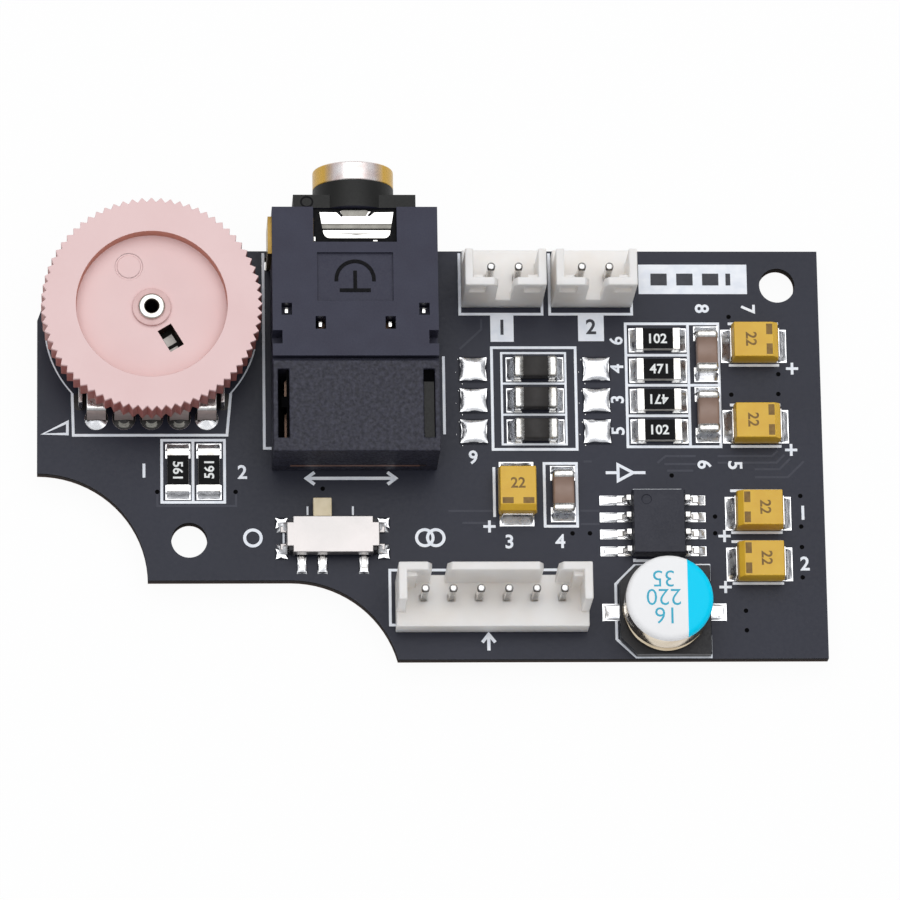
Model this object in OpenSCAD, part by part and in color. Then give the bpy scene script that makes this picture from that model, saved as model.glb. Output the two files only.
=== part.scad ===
// Small amplifier audio board with a volume thumbwheel, a headphone jack and a slide switch.
// X runs right, Y runs to the back, Z up. The origin is under the middle of the bounding box,
// on the plane that the tips of the trimmed leads touch. Each piece is drawn in the board's own
// frame, with zero at the middle of the board's top face, and node_frame() moves it there.

/* [Board] */
// Length of the board, left to right
board_l = 57.2; // [57.2:0.2:80]
// Width of the board, front to back
board_w = 30.7; // [30.7:0.1:45]
// Thickness of the board
board_t = 1; // [0.8:0.1:2.4]
// Diameter of the two mounting holes
mount_hole_d = 2.6; // [2:0.1:3.2]
// Radius of the two scooped curves at the front left
scoop_r = 8; // [6.5:0.1:8.2]
// Depth of the ledge cut into the front edge
ledge_h = 5.9; // [4.5:0.1:6.2]
// Length of the ledge, from the left edge to where its second scoop starts
ledge_l = 18.3; // [17:0.1:18.6]
// Thickness of the tinned lands
land_t = 0.05; // [0.03:0.01:0.1]
// Length of the leads below the board
stub = 1.2; // [0.9:0.1:2]

/* [Thumbwheel] */
// Diameter over the tips of the teeth
wheel_d = 16; // [13:0.1:16.4]
// Thickness of the wheel
wheel_t = 2.4; // [2:0.1:3.5]
// Number of teeth
wheel_teeth = 72; // [48:1:90]
// Height of a tooth
tooth_h = 0.35; // [0.2:0.05:0.6]
// Diameter of the dished middle
dish_d = 10.9; // [9:0.1:12]
// Depth of the dished middle
dish_h = 1.1; // [0.5:0.1:1.3]
// Width of the slot that shows the wiper
wheel_slot_w = 1.1; // [0.8:0.1:1.4]
// Diameter of the moulding mark
mark_d = 2; // [1.4:0.1:2.4]

/* [Volume control] */
// Height of the frame plate above the board
pot_gap = 0.6; // [0.3:0.1:1.5]
// Diameter of the wafer
wafer_d = 11.6; // [11:0.1:12.4]
// Thickness of the wafer
wafer_t = 1.1; // [0.8:0.1:1.6]
// Width of the wafer's tongue
tongue_w = 10; // [9.6:0.1:10.2]
// Thickness of the frame's sheet
frame_t = 0.3; // [0.2:0.05:0.5]
// Space between the wafer and the wheel
wiper_gap = 1.2; // [0.8:0.1:1.8]
// Distance between the leads
pot_pitch = 2; // [1.8:0.1:2.1]
// Width of a lead above the board
pot_lead_w = 1.4; // [1:0.1:1.5]
// Bore of the hollow rivet
rivet_id = 0.9; // [0.6:0.1:1]
// Barrel diameter of the hollow rivet
rivet_od = 1.4; // [1.3:0.05:1.6]
// Diameter of the rivet's rolled head
rivet_head_d = 1.95; // [1.8:0.05:2.4]
// Radial play of the wheel on the rivet
wheel_play = 0.05; // [0.02:0.01:0.09]

/* [Headphone jack] */
// Width of the jack
jack_w = 12; // [11.8:0.1:13]
// Length of the jack's body behind its shoulder
jack_l = 18.3; // [18:0.1:20]
// Height of the jack
jack_h = 5.6; // [5.5:0.1:7]
// Diameter of the nose
nose_d = 5.9; // [5.4:0.1:6.2]
// Diameter of the bore that takes the plug
bore_d = 3.6; // [3.55:0.05:3.7]
// Depth of the plug's bore from the tip of the nose
bore_depth = 14; // [13.5:0.1:14]
// Thickness of the contact strip
strip_t = 0.3; // [0.2:0.05:0.3]

/* [Pin headers] */
// Distance between the pins
pin_pitch = 2; // [2:0.1:2.6]
// Side of a square pin
pin_a = 0.5; // [0.4:0.05:0.6]
// Height of a header
hdr_h = 6; // [5.4:0.1:7]
// Depth of a header, front to back
hdr_d = 3.8; // [3.6:0.1:4.2]
// Length of a header beyond its outer pins, both ends together
hdr_extra = 3.9; // [3.6:0.1:3.95]
// Height of the floor that the plug rests on
hdr_floor = 2; // [1.4:0.1:2.6]
// Thickness of the walls
hdr_wall = 0.6; // [0.4:0.05:0.8]
// Length of the end walls from the slotted wall
hdr_end = 2.75; // [2.4:0.05:3.2]
// Distance of the pins from the slotted wall's outer face
pin_in = 1.7; // [1.5:0.05:1.9]
// Width of a key slot
key_w = 1.1; // [0.8:0.1:1.4]
// Height of the pins above the board
pin_h = 5; // [4:0.1:5.6]

/* [Slide switch] */
// Length of the switch
sw_l = 6.7; // [6.5:0.1:7.2]
// Depth of the switch
sw_d = 2.7; // [2.6:0.1:3]
// Height of the switch
sw_h = 1.4; // [1.3:0.05:1.8]
// Width of the lever
lever_w = 1.35; // [1:0.05:1.5]
// Length of the lever outside the switch
lever_out = 1.45; // [1:0.05:2]
// Travel of the lever
lever_travel = 1.5; // [1:0.1:1.7]
// Thickness of the cover's sheet
cover_t = 0.15; // [0.1:0.01:0.2]

/* [Chip parts] */
// Length of a chip resistor, bead or ceramic capacitor
chip_l = 3.2; // [2.8:0.1:3.4]
// Width of a chip part
chip_w = 1.6; // [1.2:0.05:1.7]
// Height of a chip resistor
res_h = 0.55; // [0.4:0.05:0.8]
// Height of a ferrite bead
bead_h = 1.1; // [0.8:0.05:1.4]
// Height of a ceramic capacitor
mlcc_h = 1.25; // [0.8:0.05:1.6]
// Length of a terminal on a chip part
term_l = 0.5; // [0.3:0.05:0.7]

/* [Moulded capacitors] */
// Length of the moulded body
tant_l = 3.4; // [3:0.1:3.6]
// Width of the moulded body
tant_w = 2.8; // [2.2:0.1:3]
// Height of the moulded body
tant_h = 1.9; // [1.4:0.1:2.4]
// Inward slope of its sides
tant_draft = 0.1; // [0:0.02:0.2]
// Width of its terminals
tant_term_w = 2.2; // [1.6:0.1:2.2]

/* [Amplifier chip] */
// Length of the chip's body along its rows of leads
ic_l = 4.9; // [4.7:0.1:5.1]
// Width of the chip's body
ic_w = 3.9; // [3.7:0.1:4.1]
// Height of the chip
ic_h = 1.6; // [1.3:0.05:1.8]
// Distance over the tips of the leads
ic_span = 6; // [5.8:0.1:6.4]
// Distance between leads
ic_pitch = 1.27; // [1.1:0.01:1.3]
// Width of a lead
ic_lead_w = 0.42; // [0.3:0.02:0.5]

/* [Can capacitor] */
// Diameter of the can
can_d = 6.3; // [5:0.1:6.5]
// Height of the can above the board
can_h = 4.7; // [4.2:0.1:8]
// Side of its square base
can_base_a = 6.6; // [6.4:0.1:6.9]
// Height of its base
can_base_h = 0.9; // [0.6:0.1:1.2]
// Width of its leads
can_lead_w = 0.7; // [0.5:0.05:0.9]

/* [Hidden] */

$fn = 64;
cut = 1; // how far a cutter runs past the face it opens

chamfer_at = [1.9, 5.3]; // the cut corner at the back left, along and down

// The board's edges, from the middle of the board
left_edge = -board_l / 2;
right_edge = board_l / 2;
front_edge = -board_w / 2;
back_edge = board_w / 2;
lead_end = -board_t - stub;

// Mounting holes, each from the two edges nearest to it
hole_left_at = [left_edge + 11, front_edge + 8.9];
hole_right_at = [right_edge - 3, back_edge - 2.6];

// Columns of parts from left to right: volume control, jack, beads with their bare lands,
// resistors, ceramic capacitors and moulded capacitors. Each keeps its smallest gap to the next,
// and the room that is left over goes between them.
pot_in = 8.3;         // from the left edge to the rivet
pot_room_r = 8;       // from the rivet to the wheel's right side
side_land_x = 4.5;    // from a bead to the bare land beside it
side_land_l = 2.1;
chip_span = 4.2;      // over both lands of a chip part
land_w = 1.8;
tant_span = 4.8;      // over both lands of a moulded capacitor
column_w = [pot_in + pot_room_r, jack_w, 2 * side_land_x + side_land_l, chip_span, land_w, tant_span];
column_gap = [0.05, 0.1, 0.15, 0.2, 0.1, 0.1];
gap_share = [0.65, 1.6, 1.25, 0.35, 0.1, 2.35] / 6.3;
function total(v, n) = n > 0 ? v[n - 1] + total(v, n - 1) : 0;
spare_l = board_l - total(column_w, 6) - total(column_gap, 6);
function column_x(i) = left_edge + total(column_w, i) + column_w[i] / 2 + total(column_gap, i)
    + spare_l * total(gap_share, i);
jack_x = column_x(1);
bead_x = column_x(2);
res_x = column_x(3);
mlcc_x = column_x(4);
tant_x = column_x(5);

// Volume control, from the left and back edges
pot_at = [left_edge + pot_in, back_edge - 5.6];
frame_z = pot_gap;
wafer_z = frame_z + frame_t;
wafer_top = wafer_z + wafer_t;
wheel_z = wafer_top + wiper_gap;
dish_z = wheel_z + wheel_t - dish_h;
rivet_flange = 0.25;
washer_t = 0.2;
washer_gap = 0.05;
washer_z = dish_z + washer_gap;
washer_d = 2.8;
tongue_y = 5.2;      // from the rivet to the front end of the tongue
pot_lead_y = 7.1;    // from the rivet to the row of leads in the board
pot_lead_t = 0.3;
pot_leg_w = 0.8;
pot_bend_r = 0.5;
pot_lead_in = 4;     // from the rivet to where a lead starts on the wafer
frame_arm_y = 5.8;   // from the rivet to the frame's two legs
frame_leg_w = 1.2;
frame_wall_l = 2.6;  // length of the side walls that fold up beside the wafer
slot_a = -59;        // direction of the wheel's slot
slot_in = 1.75;
slot_out = 3.55;
mark_a = 118;
mark_r = 3.5;
hub_d = 3;
wheel_lift = 0.05;   // between the hub and the wafer
track_r = 2.8;       // radius of the track that the wiper presses on
wiper_t = 0.15;
wiper_w = 1.8;       // wider than the slot, so that the strip is held along both its edges
wiper_clear = 0.03;

// Headphone jack. Its own frame starts at the middle of its front face, with Y to the back of the
// board, so its body has negative Y. The springs, their slots and the cap are set from its rear
// end, and the window, sign and sleeve contact from its front.
jack_at = [jack_x, back_edge + 1.7];
rear = -jack_l;
shoulder_w = 8.9;
shoulder_l = 1;
shoulder_drop = 0.3; // from the top of the body to the top of the shoulder
collar_l = 1;
ring_l = 1.4;
nose_tip = shoulder_l + collar_l + ring_l;
nose_z = nose_d / 2;
bore_end = nose_tip - bore_depth;
groove_w = 0.35;
groove_h = 0.8;
cap_l = 6.75;
cap_y = jack_l - cap_l;
front_l = cap_y - groove_w; // length of the front housing, up to the groove
window_w = 6.05;
window_x = 0.02;
window_y = [-2.65, 0];
sign_w = 5.5;
sign_y = [-7.1, -3.45];
sign_h = 0.25;
side_wall = 0.35;    // between a contact slot and the side of the jack
slot_w = 0.8;
contact_x = jack_w / 2 - side_wall - slot_w; // inner face of the two slots that hold the contacts
contact_in = contact_x - 0.55;               // where the springs bend to run forward
contact_z = [2.15, 3.75];
tool_a = 0.75;       // side of the square tool holes
tool_x = [2.525, contact_x + 0.125];
notch_in = 0.7;
notch_h = 2;
tail_in = 4.6;       // where the tail across the back ends
room_z = [1.9, 4];   // floor and ceiling of the rooms for the springs
room_y = [rear + 2.7, rear + 11.5];
slot_y = [rear + 1, rear + 6.1];
leg_l = 0.9;
sleeve_y = [-2.5, -0.7];
sleeve_z = nose_z + bore_d / 2 + 0.05; // underside of the sleeve contact, just clear of the plug
sleeve_leg_y = -2.7;
tail_z = [1.2, 1.5];

// Headers: the middle of the slotted wall's outer face. The back pair opens to the back edge.
pocket = [1.2, 0.3, 1.3]; // shallow pocket high on the slotted wall, by each end wall
pocket_in = 0.35;
pocket_down = 0.7;
corner_l = 0.75;     // block in each inner corner, behind the pocket
corner_d = 0.35;
corner_down = 0.6;
left_hdr_at = [bead_x - 2.35, back_edge - 4.3];
right_hdr_at = [bead_x + 4.25, back_edge - 4.3];
in_hdr_at = [bead_x - 3.45, front_edge + 5.8];
in_pins = 6;
out_pins = 2;

// Slide switch, below the jack, with its lever at the left stop
sw_at = [jack_x - 1.63, front_edge + 9];
lever_x = -lever_travel / 2;
lever_gap = 0.05;
lever_z = [0.45, 1.05];
carriage_l = 2.2;
carriage_d = 1;
room_wall = 0.35;
notch_a = 0.45;
bridge_t = 0.1;

// Chip parts, in their columns
res_left_in = 10.2;
res_left_up = 14;
res_left = [left_edge + res_left_in, front_edge + res_left_up];
res_left_step = 2.25;
res_right = [res_x, back_edge - 6.8];
res_right_step = 2.3;
bead_at = [bead_x, back_edge - 9];
bead_step = 2.35;
mlcc4_at = [bead_x + 1.9, front_edge + 12.3];
mlcc8_at = [mlcc_x, back_edge - 7.85];
mlcc6_at = [mlcc_x, back_edge - 12.45];
land_l = 1.1;        // length of one land of a chip part
skin = 0.03;         // how far a terminal stands out of the ceramic

// Moulded capacitors: 1 and 2 at the front right, 5 and 7 at the back right, 3 beside the header
tant1_at = [tant_x, front_edge + 10.8];
tant2_at = [tant_x, front_edge + 7];
tant3_at = [bead_x - 1.48, front_edge + 12.3];
tant5_at = [tant_x, back_edge - 13.35];
tant7_at = [tant_x, back_edge - 7.25];
tant_term_t = 0.12;
tant_term_h = 1;
tant_foot = 0.8;
tant_land_w = 2.5;
tant_land_l = 1.4;
tant_bevel = 0.35;   // how far the bevel of the plus side reaches along the top

// Amplifier chip and can, in front of the resistors
ic_at = [res_x - 0.3, front_edge + 9.9];
ic_lift = 0.12;
ic_lead_t = 0.2;
ic_draft = 0.12;
ic_land_in = 1.75;   // from the middle of the chip to the inner ends of its lands
ic_land_l = [2.45, 1.75]; // length of the lands at the left and at the right
ic_land_w = 0.7;
ic_dimple_d = 0.7;
can_at = [res_x + 0.05, front_edge + 3.45];
can_neck = 0.25;
can_groove_z = 1.7;
can_land = [3.4, 1.25];
can_land_out = 4.5;
can_chamfer = 1.2;

// Solder
fillet_l = 0.35;
cone_d = 1.7;
cone_h = 0.8;
pin_drill = 0.8;
flat_drill = 1;
tab_drill = 1.35;

// Middle of the bounding box from front to back
mid_y = (front_edge + jack_at.y + nose_tip) / 2;

// Where leads go through the board
function row_x(n, pitch) = [for (i = [0:n - 1]) (i - (n - 1) / 2) * pitch];
left_pin_at = [for (x = row_x(out_pins, pin_pitch)) left_hdr_at + [x, pin_in]];
right_pin_at = [for (x = row_x(out_pins, pin_pitch)) right_hdr_at + [x, pin_in]];
in_pin_at = [for (x = row_x(in_pins, pin_pitch)) in_hdr_at + [x, -pin_in]];
square_pin_at = concat(left_pin_at, right_pin_at, in_pin_at);
pot_lead_at = [for (x = row_x(5, pot_pitch)) pot_at + [x, -pot_lead_y]];
pot_tab_at = [for (side = [-1, 1]) pot_at + [side * (tongue_w + frame_t) / 2, -frame_arm_y]];
leg_y = [rear + 4.6, rear + 1.9];
jack_leg_at = concat(
    [for (side = [-1, 1], y = leg_y) jack_at + [side * (contact_x + strip_t / 2), y]],
    [jack_at + [-(jack_w + strip_t) / 2, sleeve_leg_y]]);

// Sites of the small parts, as place and turn
resistor_at = concat(
    [for (i = [0:1]) [res_left + [i * res_left_step, 0], 90]],
    [for (i = [0:3]) [res_right - [0, i * res_right_step], 0]]);
bead_sites = [for (i = [0:2]) [bead_at - [0, i * bead_step], 0]];
mlcc_sites = [[mlcc4_at, 90], [mlcc6_at, 90], [mlcc8_at, 90]];
tant_sites = [[tant1_at, 180], [tant2_at, 180], [tant3_at, -90], [tant5_at, 0], [tant7_at, 0]];
bare_land_at = [for (i = [0:2], side = [-1, 1]) bead_at + [side * side_land_x, -i * bead_step]];
switch_pin_x = [-2.25, -0.75, 2.25];

// Moves a piece from the board's frame to the part's frame
module node_frame() translate([0, -mid_y, board_t + stub]) children();

// Places a child at a site, which is a point on the board and a turn
module at_site(site) translate([site[0].x, site[0].y, 0]) rotate(site[1]) children();

// A slab on the board with its middle at the origin
module slab(size, z = 0) translate([-size.x / 2, -size.y / 2, z]) cube(size);

// The outline of a strip of thickness t that follows the points of a path
function unit(v) = v / norm(v);
function left_of(v) = [-v.y, v.x];
function strip_normal(path, i) =
    let (a = unit(path[max(i, 1)] - path[max(i, 1) - 1]),
         b = unit(path[min(i, len(path) - 2) + 1] - path[min(i, len(path) - 2)]),
         m = unit(left_of(a) + left_of(b)))
    m / (m * left_of(a));
function strip_outline(path, t) = concat(
    [for (i = [0:len(path) - 1]) path[i] + t / 2 * strip_normal(path, i)],
    [for (i = [len(path) - 1:-1:0]) path[i] - t / 2 * strip_normal(path, i)]);

// Board

module board_outline() {
    difference() {
        square([board_l, board_w], center = true);
        translate([left_edge - cut, front_edge - cut]) square([ledge_l + cut, ledge_h + cut]);
        translate([left_edge, front_edge + ledge_h]) circle(scoop_r);
        translate([left_edge + ledge_l, front_edge + ledge_h - scoop_r]) circle(scoop_r);
        polygon([[left_edge, back_edge - chamfer_at.y], [left_edge + chamfer_at.x, back_edge],
                 [left_edge + chamfer_at.x, back_edge + cut], [left_edge - cut, back_edge + cut],
                 [left_edge - cut, back_edge - chamfer_at.y]]);
    }
}

module drills(points, d) for (p = points) translate([p.x, p.y, -board_t - cut])
    cylinder(h = board_t + 2 * cut, d = d, $fn = 24);

module circuit_board() color("#2f3138") node_frame() difference() {
    translate([0, 0, -board_t]) linear_extrude(board_t) board_outline();
    for (p = [hole_left_at, hole_right_at]) translate([p.x, p.y, -board_t - cut])
        cylinder(h = board_t + 2 * cut, d = mount_hole_d);
    drills(square_pin_at, pin_drill);
    drills(concat(pot_lead_at, jack_leg_at), flat_drill);
    drills(pot_tab_at, tab_drill);
}

// Two lands of a part, span over their outer ends
module land_pair(span, l, w) for (side = [-1, 1])
    translate([side * (span - l) / 2, 0, 0]) slab([l, w, land_t]);

module ring_land(p, drill) translate([p.x, p.y, 0]) difference() {
    cylinder(h = land_t, d = cone_d, $fn = 32);
    translate([0, 0, -cut]) cylinder(h = land_t + 2 * cut, d = drill, $fn = 24);
}

module tinned_lands() color("#c9ccce") node_frame() {
    for (s = concat(resistor_at, bead_sites, mlcc_sites))
        at_site(s) land_pair(chip_span, land_l, land_w);
    for (s = tant_sites) at_site(s) land_pair(tant_span, tant_land_l, tant_land_w);
    for (p = bare_land_at) translate([p.x, p.y, 0]) slab([side_land_l - 0.1, land_w, 3 * land_t]);
    for (i = [0, 1], y = row_x(4, ic_pitch))
        translate([ic_at.x + (2 * i - 1) * (ic_land_in + ic_land_l[i] / 2), ic_at.y + y, 0])
            slab([ic_land_l[i], ic_land_w, land_t]);
    for (side = [-1, 1]) translate([can_at.x + side * (can_land_out - can_land.x / 2), can_at.y, 0])
        slab([can_land.x, can_land.y, land_t]);
    for (p = pot_lead_at) ring_land(p, flat_drill);
    translate([sw_at.x, sw_at.y, 0]) {
        for (x = switch_pin_x) translate([x, -sw_d / 2 - 0.6, 0]) slab([0.7, 1.2, land_t]);
        for (x = [-1, 1], y = [-1, 1])
            translate([x * (sw_l / 2 + 0.35), y * (sw_d / 2 - 0.2), 0]) slab([0.9, 0.8, land_t]);
    }
}

// A wedge of solder against an end face at x = 0
module fillet(w, h) translate([0, w / 2, land_t]) rotate([90, 0, 0])
    linear_extrude(w) polygon([[0, 0], [fillet_l, 0], [fillet_l / 3, h / 3], [0, h]]);

module fillet_pair(l, w, h) for (side = [0, 180]) rotate(side)
    translate([l / 2, 0, 0]) fillet(w, h);

module solder_fillets() color("#b4b8bc") node_frame() {
    for (s = resistor_at) at_site(s) fillet_pair(chip_l, chip_w, res_h * 0.8);
    for (s = bead_sites) at_site(s) fillet_pair(chip_l, chip_w, bead_h * 0.6);
    for (s = mlcc_sites) at_site(s) fillet_pair(chip_l, chip_w, mlcc_h * 0.6);
    for (s = tant_sites) at_site(s)
        fillet_pair(tant_l + 2 * tant_term_t, tant_term_w, tant_term_h * 0.7);
    for (side = [0, 180]) translate([ic_at.x, ic_at.y, 0]) rotate(side)
        for (y = row_x(4, ic_pitch)) translate([ic_span / 2, y, 0]) fillet(ic_lead_w, ic_lead_t);
}

// Solder under the board, round each lead
module solder_cone(p, hole) translate([p.x, p.y, -board_t]) rotate_extrude($fn = 32)
    polygon([[hole / 2, 0], [cone_d / 2, 0], [cone_d / 2, -0.05], [hole / 2 + 0.12, -cone_h],
             [hole / 2, -cone_h]]);

module solder_cones() color("#b4b8bc") node_frame() {
    for (p = square_pin_at) solder_cone(p, pin_a * sqrt(2) + 0.01);
    for (p = concat(pot_lead_at, jack_leg_at)) solder_cone(p, flat_drill);
    for (p = pot_tab_at) solder_cone(p, tab_drill);
}

// Volume control

module pot_outline(d, w, front) {
    circle(d = d);
    translate([-w / 2, -front]) square([w, front]);
}

module pot_frame() color("#b9bbbd") node_frame() translate([pot_at.x, pot_at.y, 0]) difference() {
    union() {
        translate([0, 0, frame_z]) linear_extrude(frame_t)
            pot_outline(wafer_d - 1, tongue_w, tongue_y);
        // Two side walls fold up beside the tongue, and a leg runs down from each
        for (side = [0, 1]) mirror([side, 0, 0]) translate([tongue_w / 2, 0, 0]) {
            translate([0, -frame_arm_y - frame_leg_w / 2, frame_z])
                cube([frame_t, frame_wall_l, frame_t + wafer_t]);
            translate([0, -frame_arm_y - frame_leg_w / 2, lead_end])
                cube([frame_t, frame_leg_w, frame_z - lead_end]);
        }
    }
    translate([0, 0, frame_z - cut]) cylinder(h = frame_t + 2 * cut, d = rivet_od);
}

module pot_wafer() color("#7a5236") node_frame() translate([pot_at.x, pot_at.y, wafer_z])
    difference() {
        linear_extrude(wafer_t) pot_outline(wafer_d, tongue_w, tongue_y);
        translate([0, 0, -cut]) cylinder(h = wafer_t + 2 * cut, d = rivet_od);
        // Room for the side walls of the frame, where the disc is wider than the tongue
        for (side = [0, 1]) mirror([side, 0, 0])
            translate([tongue_w / 2, -frame_arm_y - frame_leg_w / 2, -cut])
                cube([wafer_d, frame_wall_l, wafer_t + 2 * cut]);
    }

// A flat lead: along the wafer, round a bend and down to the board
module pot_lead_profile() {
    bend_y = -pot_lead_y - pot_lead_t / 2 + pot_bend_r;
    bend_z = wafer_top + pot_lead_t - pot_bend_r;
    translate([bend_y, wafer_top]) square([-pot_lead_in - bend_y, pot_lead_t]);
    translate([bend_y, bend_z]) intersection() {
        difference() {
            circle(pot_bend_r);
            circle(pot_bend_r - pot_lead_t);
        }
        translate([-pot_bend_r, 0]) square(pot_bend_r);
    }
    translate([bend_y - pot_bend_r, 0]) square([pot_lead_t, bend_z]);
}

module pot_leads() color("#c6c8c9") node_frame() for (p = pot_lead_at) {
    translate([p.x - pot_lead_w / 2, pot_at.y, 0]) rotate([90, 0, 90])
        linear_extrude(pot_lead_w) pot_lead_profile();
    translate([p.x - pot_leg_w / 2, p.y - pot_lead_t / 2, lead_end])
        cube([pot_leg_w, pot_lead_t, -lead_end]);
}

module pot_rivet() color("#c2b9a6") node_frame() translate([pot_at.x, pot_at.y, 0])
    rotate_extrude() polygon([
        [rivet_id / 2, frame_z - rivet_flange], [rivet_head_d / 2, frame_z - rivet_flange],
        [rivet_head_d / 2, frame_z], [rivet_od / 2, frame_z],
        [rivet_od / 2, washer_z + washer_t], [rivet_head_d / 2, washer_z + washer_t],
        [rivet_head_d / 2, washer_z + washer_t + rivet_flange * 0.6],
        [rivet_head_d / 2 - 0.15, washer_z + washer_t + rivet_flange],
        [rivet_id / 2 + 0.12, washer_z + washer_t + rivet_flange],
        [rivet_id / 2, washer_z + washer_t + rivet_flange * 0.6]]);

module pot_washer() color("#c9a9a5") node_frame() translate([pot_at.x, pot_at.y, washer_z])
    difference() {
        cylinder(h = washer_t, d = washer_d);
        translate([0, 0, -cut]) cylinder(h = washer_t + 2 * cut, d = rivet_od);
    }

function tooth_ring(n, tip_r, root_r) =
    [for (i = [0:2 * n - 1]) let (r = i % 2 == 0 ? tip_r : root_r)
        r * [cos(i * 180 / n), sin(i * 180 / n)]];

// The hub under the wheel is hollow, and the wiper sits inside its rim
module thumbwheel() color("#e9cac8") node_frame() translate([pot_at.x, pot_at.y, wheel_z])
    difference() {
        union() {
            linear_extrude(wheel_t)
                polygon(tooth_ring(wheel_teeth, wheel_d / 2, wheel_d / 2 - tooth_h));
            translate([0, 0, wheel_lift - wiper_gap]) cylinder(h = wiper_gap - wheel_lift, d = hub_d);
        }
        translate([0, 0, wheel_t - dish_h]) cylinder(h = dish_h + cut, d = dish_d);
        translate([0, 0, -wiper_gap - cut])
            cylinder(h = wiper_gap + wheel_t + 2 * cut, d = rivet_od + 2 * wheel_play);
        rotate(slot_a) translate([slot_in, -wheel_slot_w / 2, -cut])
            cube([slot_out - slot_in, wheel_slot_w, wheel_t + 2 * cut]);
        // Ring left in the dish by the moulding tool
        rotate(mark_a) translate([mark_r, 0, wheel_t - dish_h - 0.1]) difference() {
            cylinder(h = dish_h, d = mark_d);
            translate([0, 0, -cut]) cylinder(h = dish_h + 2 * cut, d = mark_d - 0.3);
        }
    }

// A sprung strip under the wheel, which shows in the slot and folds back onto the track
module pot_wiper() color("#c8b48a") node_frame() translate([pot_at.x, pot_at.y, 0])
    rotate(slot_a) translate([0, wiper_w / 2, 0]) rotate([90, 0, 0])
        linear_extrude(wiper_w) polygon(strip_outline([
            [slot_in, wheel_z - wiper_t / 2], [track_r + 0.3, wheel_z - wiper_t / 2],
            [track_r + 0.7, wafer_top + wiper_t / 2 + 0.4], [track_r, wafer_top + wiper_t / 2 + wiper_clear],
            [track_r - 0.5, wafer_top + wiper_t / 2 + 0.15]], wiper_t));

// Headphone jack, drawn in its own frame

module jack_frame() node_frame() translate([jack_at.x, jack_at.y, 0]) children();

// A box from one corner to the other
module corner_box(low, high) translate(low) cube(high - low);

// The room beside the bore where one spring moves, and the slot that holds its tail
module spring_room() {
    corner_box([-contact_x, room_y[0], room_z[0]], [-bore_d / 2 + 0.55, room_y[1], room_z[1]]);
    corner_box([-jack_w / 2 + side_wall, slot_y[0], -cut], [-contact_x, slot_y[1], jack_h + cut]);
}

module both_sides() {
    children();
    mirror([1, 0, 0]) children();
}

module jack_housing() color("#34353b") jack_frame() difference() {
    union() {
        corner_box([-jack_w / 2, -front_l, 0], [jack_w / 2, 0, jack_h]);
        corner_box([-jack_w / 2, -cap_y, 0], [jack_w / 2, -front_l, jack_h - groove_h]);
        corner_box([-shoulder_w / 2, 0, 0], [shoulder_w / 2, shoulder_l, jack_h - shoulder_drop]);
        // The round collar stands proud of the shoulder and runs back over it to the body
        translate([0, 0, nose_z]) rotate([-90, 0, 0]) cylinder(h = shoulder_l + collar_l, d = nose_d);
        translate([0, shoulder_l, nose_z]) rotate([-90, 0, 0])
            cylinder(h = collar_l + ring_l, d = nose_d - 1.4);
    }
    translate([0, bore_end, nose_z]) rotate([-90, 0, 0])
        cylinder(h = nose_tip - bore_end + cut, d = bore_d);
    // Window into the bore over the sleeve contact, with the slit where its arm goes out
    corner_box([window_x - window_w / 2, window_y[0], sleeve_z - 0.2],
               [window_x + window_w / 2, window_y[1], jack_h + cut]);
    corner_box([-jack_w / 2 - cut, sleeve_y[0], sleeve_z], [0, sleeve_y[1], sleeve_z + strip_t]);
    // Shallow field for the sign
    corner_box([-sign_w / 2, sign_y[0], jack_h - sign_h], [sign_w / 2, sign_y[1], jack_h + cut]);
    both_sides() {
        spring_room();
        // Two square tool holes and a side notch
        corner_box([tool_x[1] - tool_a / 2, rear + 10.15, jack_h - 1.2],
                   [tool_x[1] + tool_a / 2, rear + 11.05, jack_h + cut]);
        corner_box([tool_x[0] - tool_a / 2, rear + 9.1, room_z[1] - cut],
                   [tool_x[0] + tool_a / 2, rear + 10.05, jack_h + cut]);
        corner_box([jack_w / 2 - notch_in, rear + 8, jack_h - notch_h],
                   [jack_w / 2 + cut, rear + 9, jack_h + cut]);
    }
}

module jack_rear_cap() color("#3a3b41") jack_frame() difference() {
    corner_box([-jack_w / 2, -jack_l, 0], [jack_w / 2, -cap_y, jack_h]);
    both_sides() spring_room();
    // Groove for the tail that crosses the back
    corner_box([-tail_in, rear - cut, tail_z[0]], [contact_x + strip_t, rear + strip_t, tail_z[1]]);
    corner_box([contact_x, rear, tail_z[0]], [contact_x + strip_t, slot_y[0] + cut, tail_z[1]]);
}

module jack_nose_ring() color("#cfc6b2") jack_frame()
    translate([0, shoulder_l + collar_l, nose_z]) rotate([-90, 0, 0]) difference() {
        cylinder(h = ring_l, d = nose_d);
        translate([0, 0, -cut]) cylinder(h = ring_l + 2 * cut, d = nose_d - 1.4);
    }

module jack_sleeve_contact() color("#b98f52") jack_frame() {
    side_x = -jack_w / 2;
    corner_box([side_x, sleeve_y[0], sleeve_z], [window_w / 2 - 0.6, sleeve_y[1], sleeve_z + strip_t]);
    corner_box([side_x - strip_t, -3.4, 1], [side_x, -0.6, sleeve_z + strip_t]);
    corner_box([side_x - strip_t, sleeve_leg_y - leg_l / 2, lead_end],
               [side_x, sleeve_leg_y + leg_l / 2, 1]);
}

// One spring on the left: a strip on edge that follows a path, and its leg
module jack_strip(path, leg) {
    translate([0, 0, contact_z[0]]) linear_extrude(contact_z[1] - contact_z[0])
        polygon(strip_outline(path, strip_t));
    corner_box([-contact_x - strip_t, leg - leg_l / 2, lead_end],
               [-contact_x, leg + leg_l / 2, contact_z[0]]);
}

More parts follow.
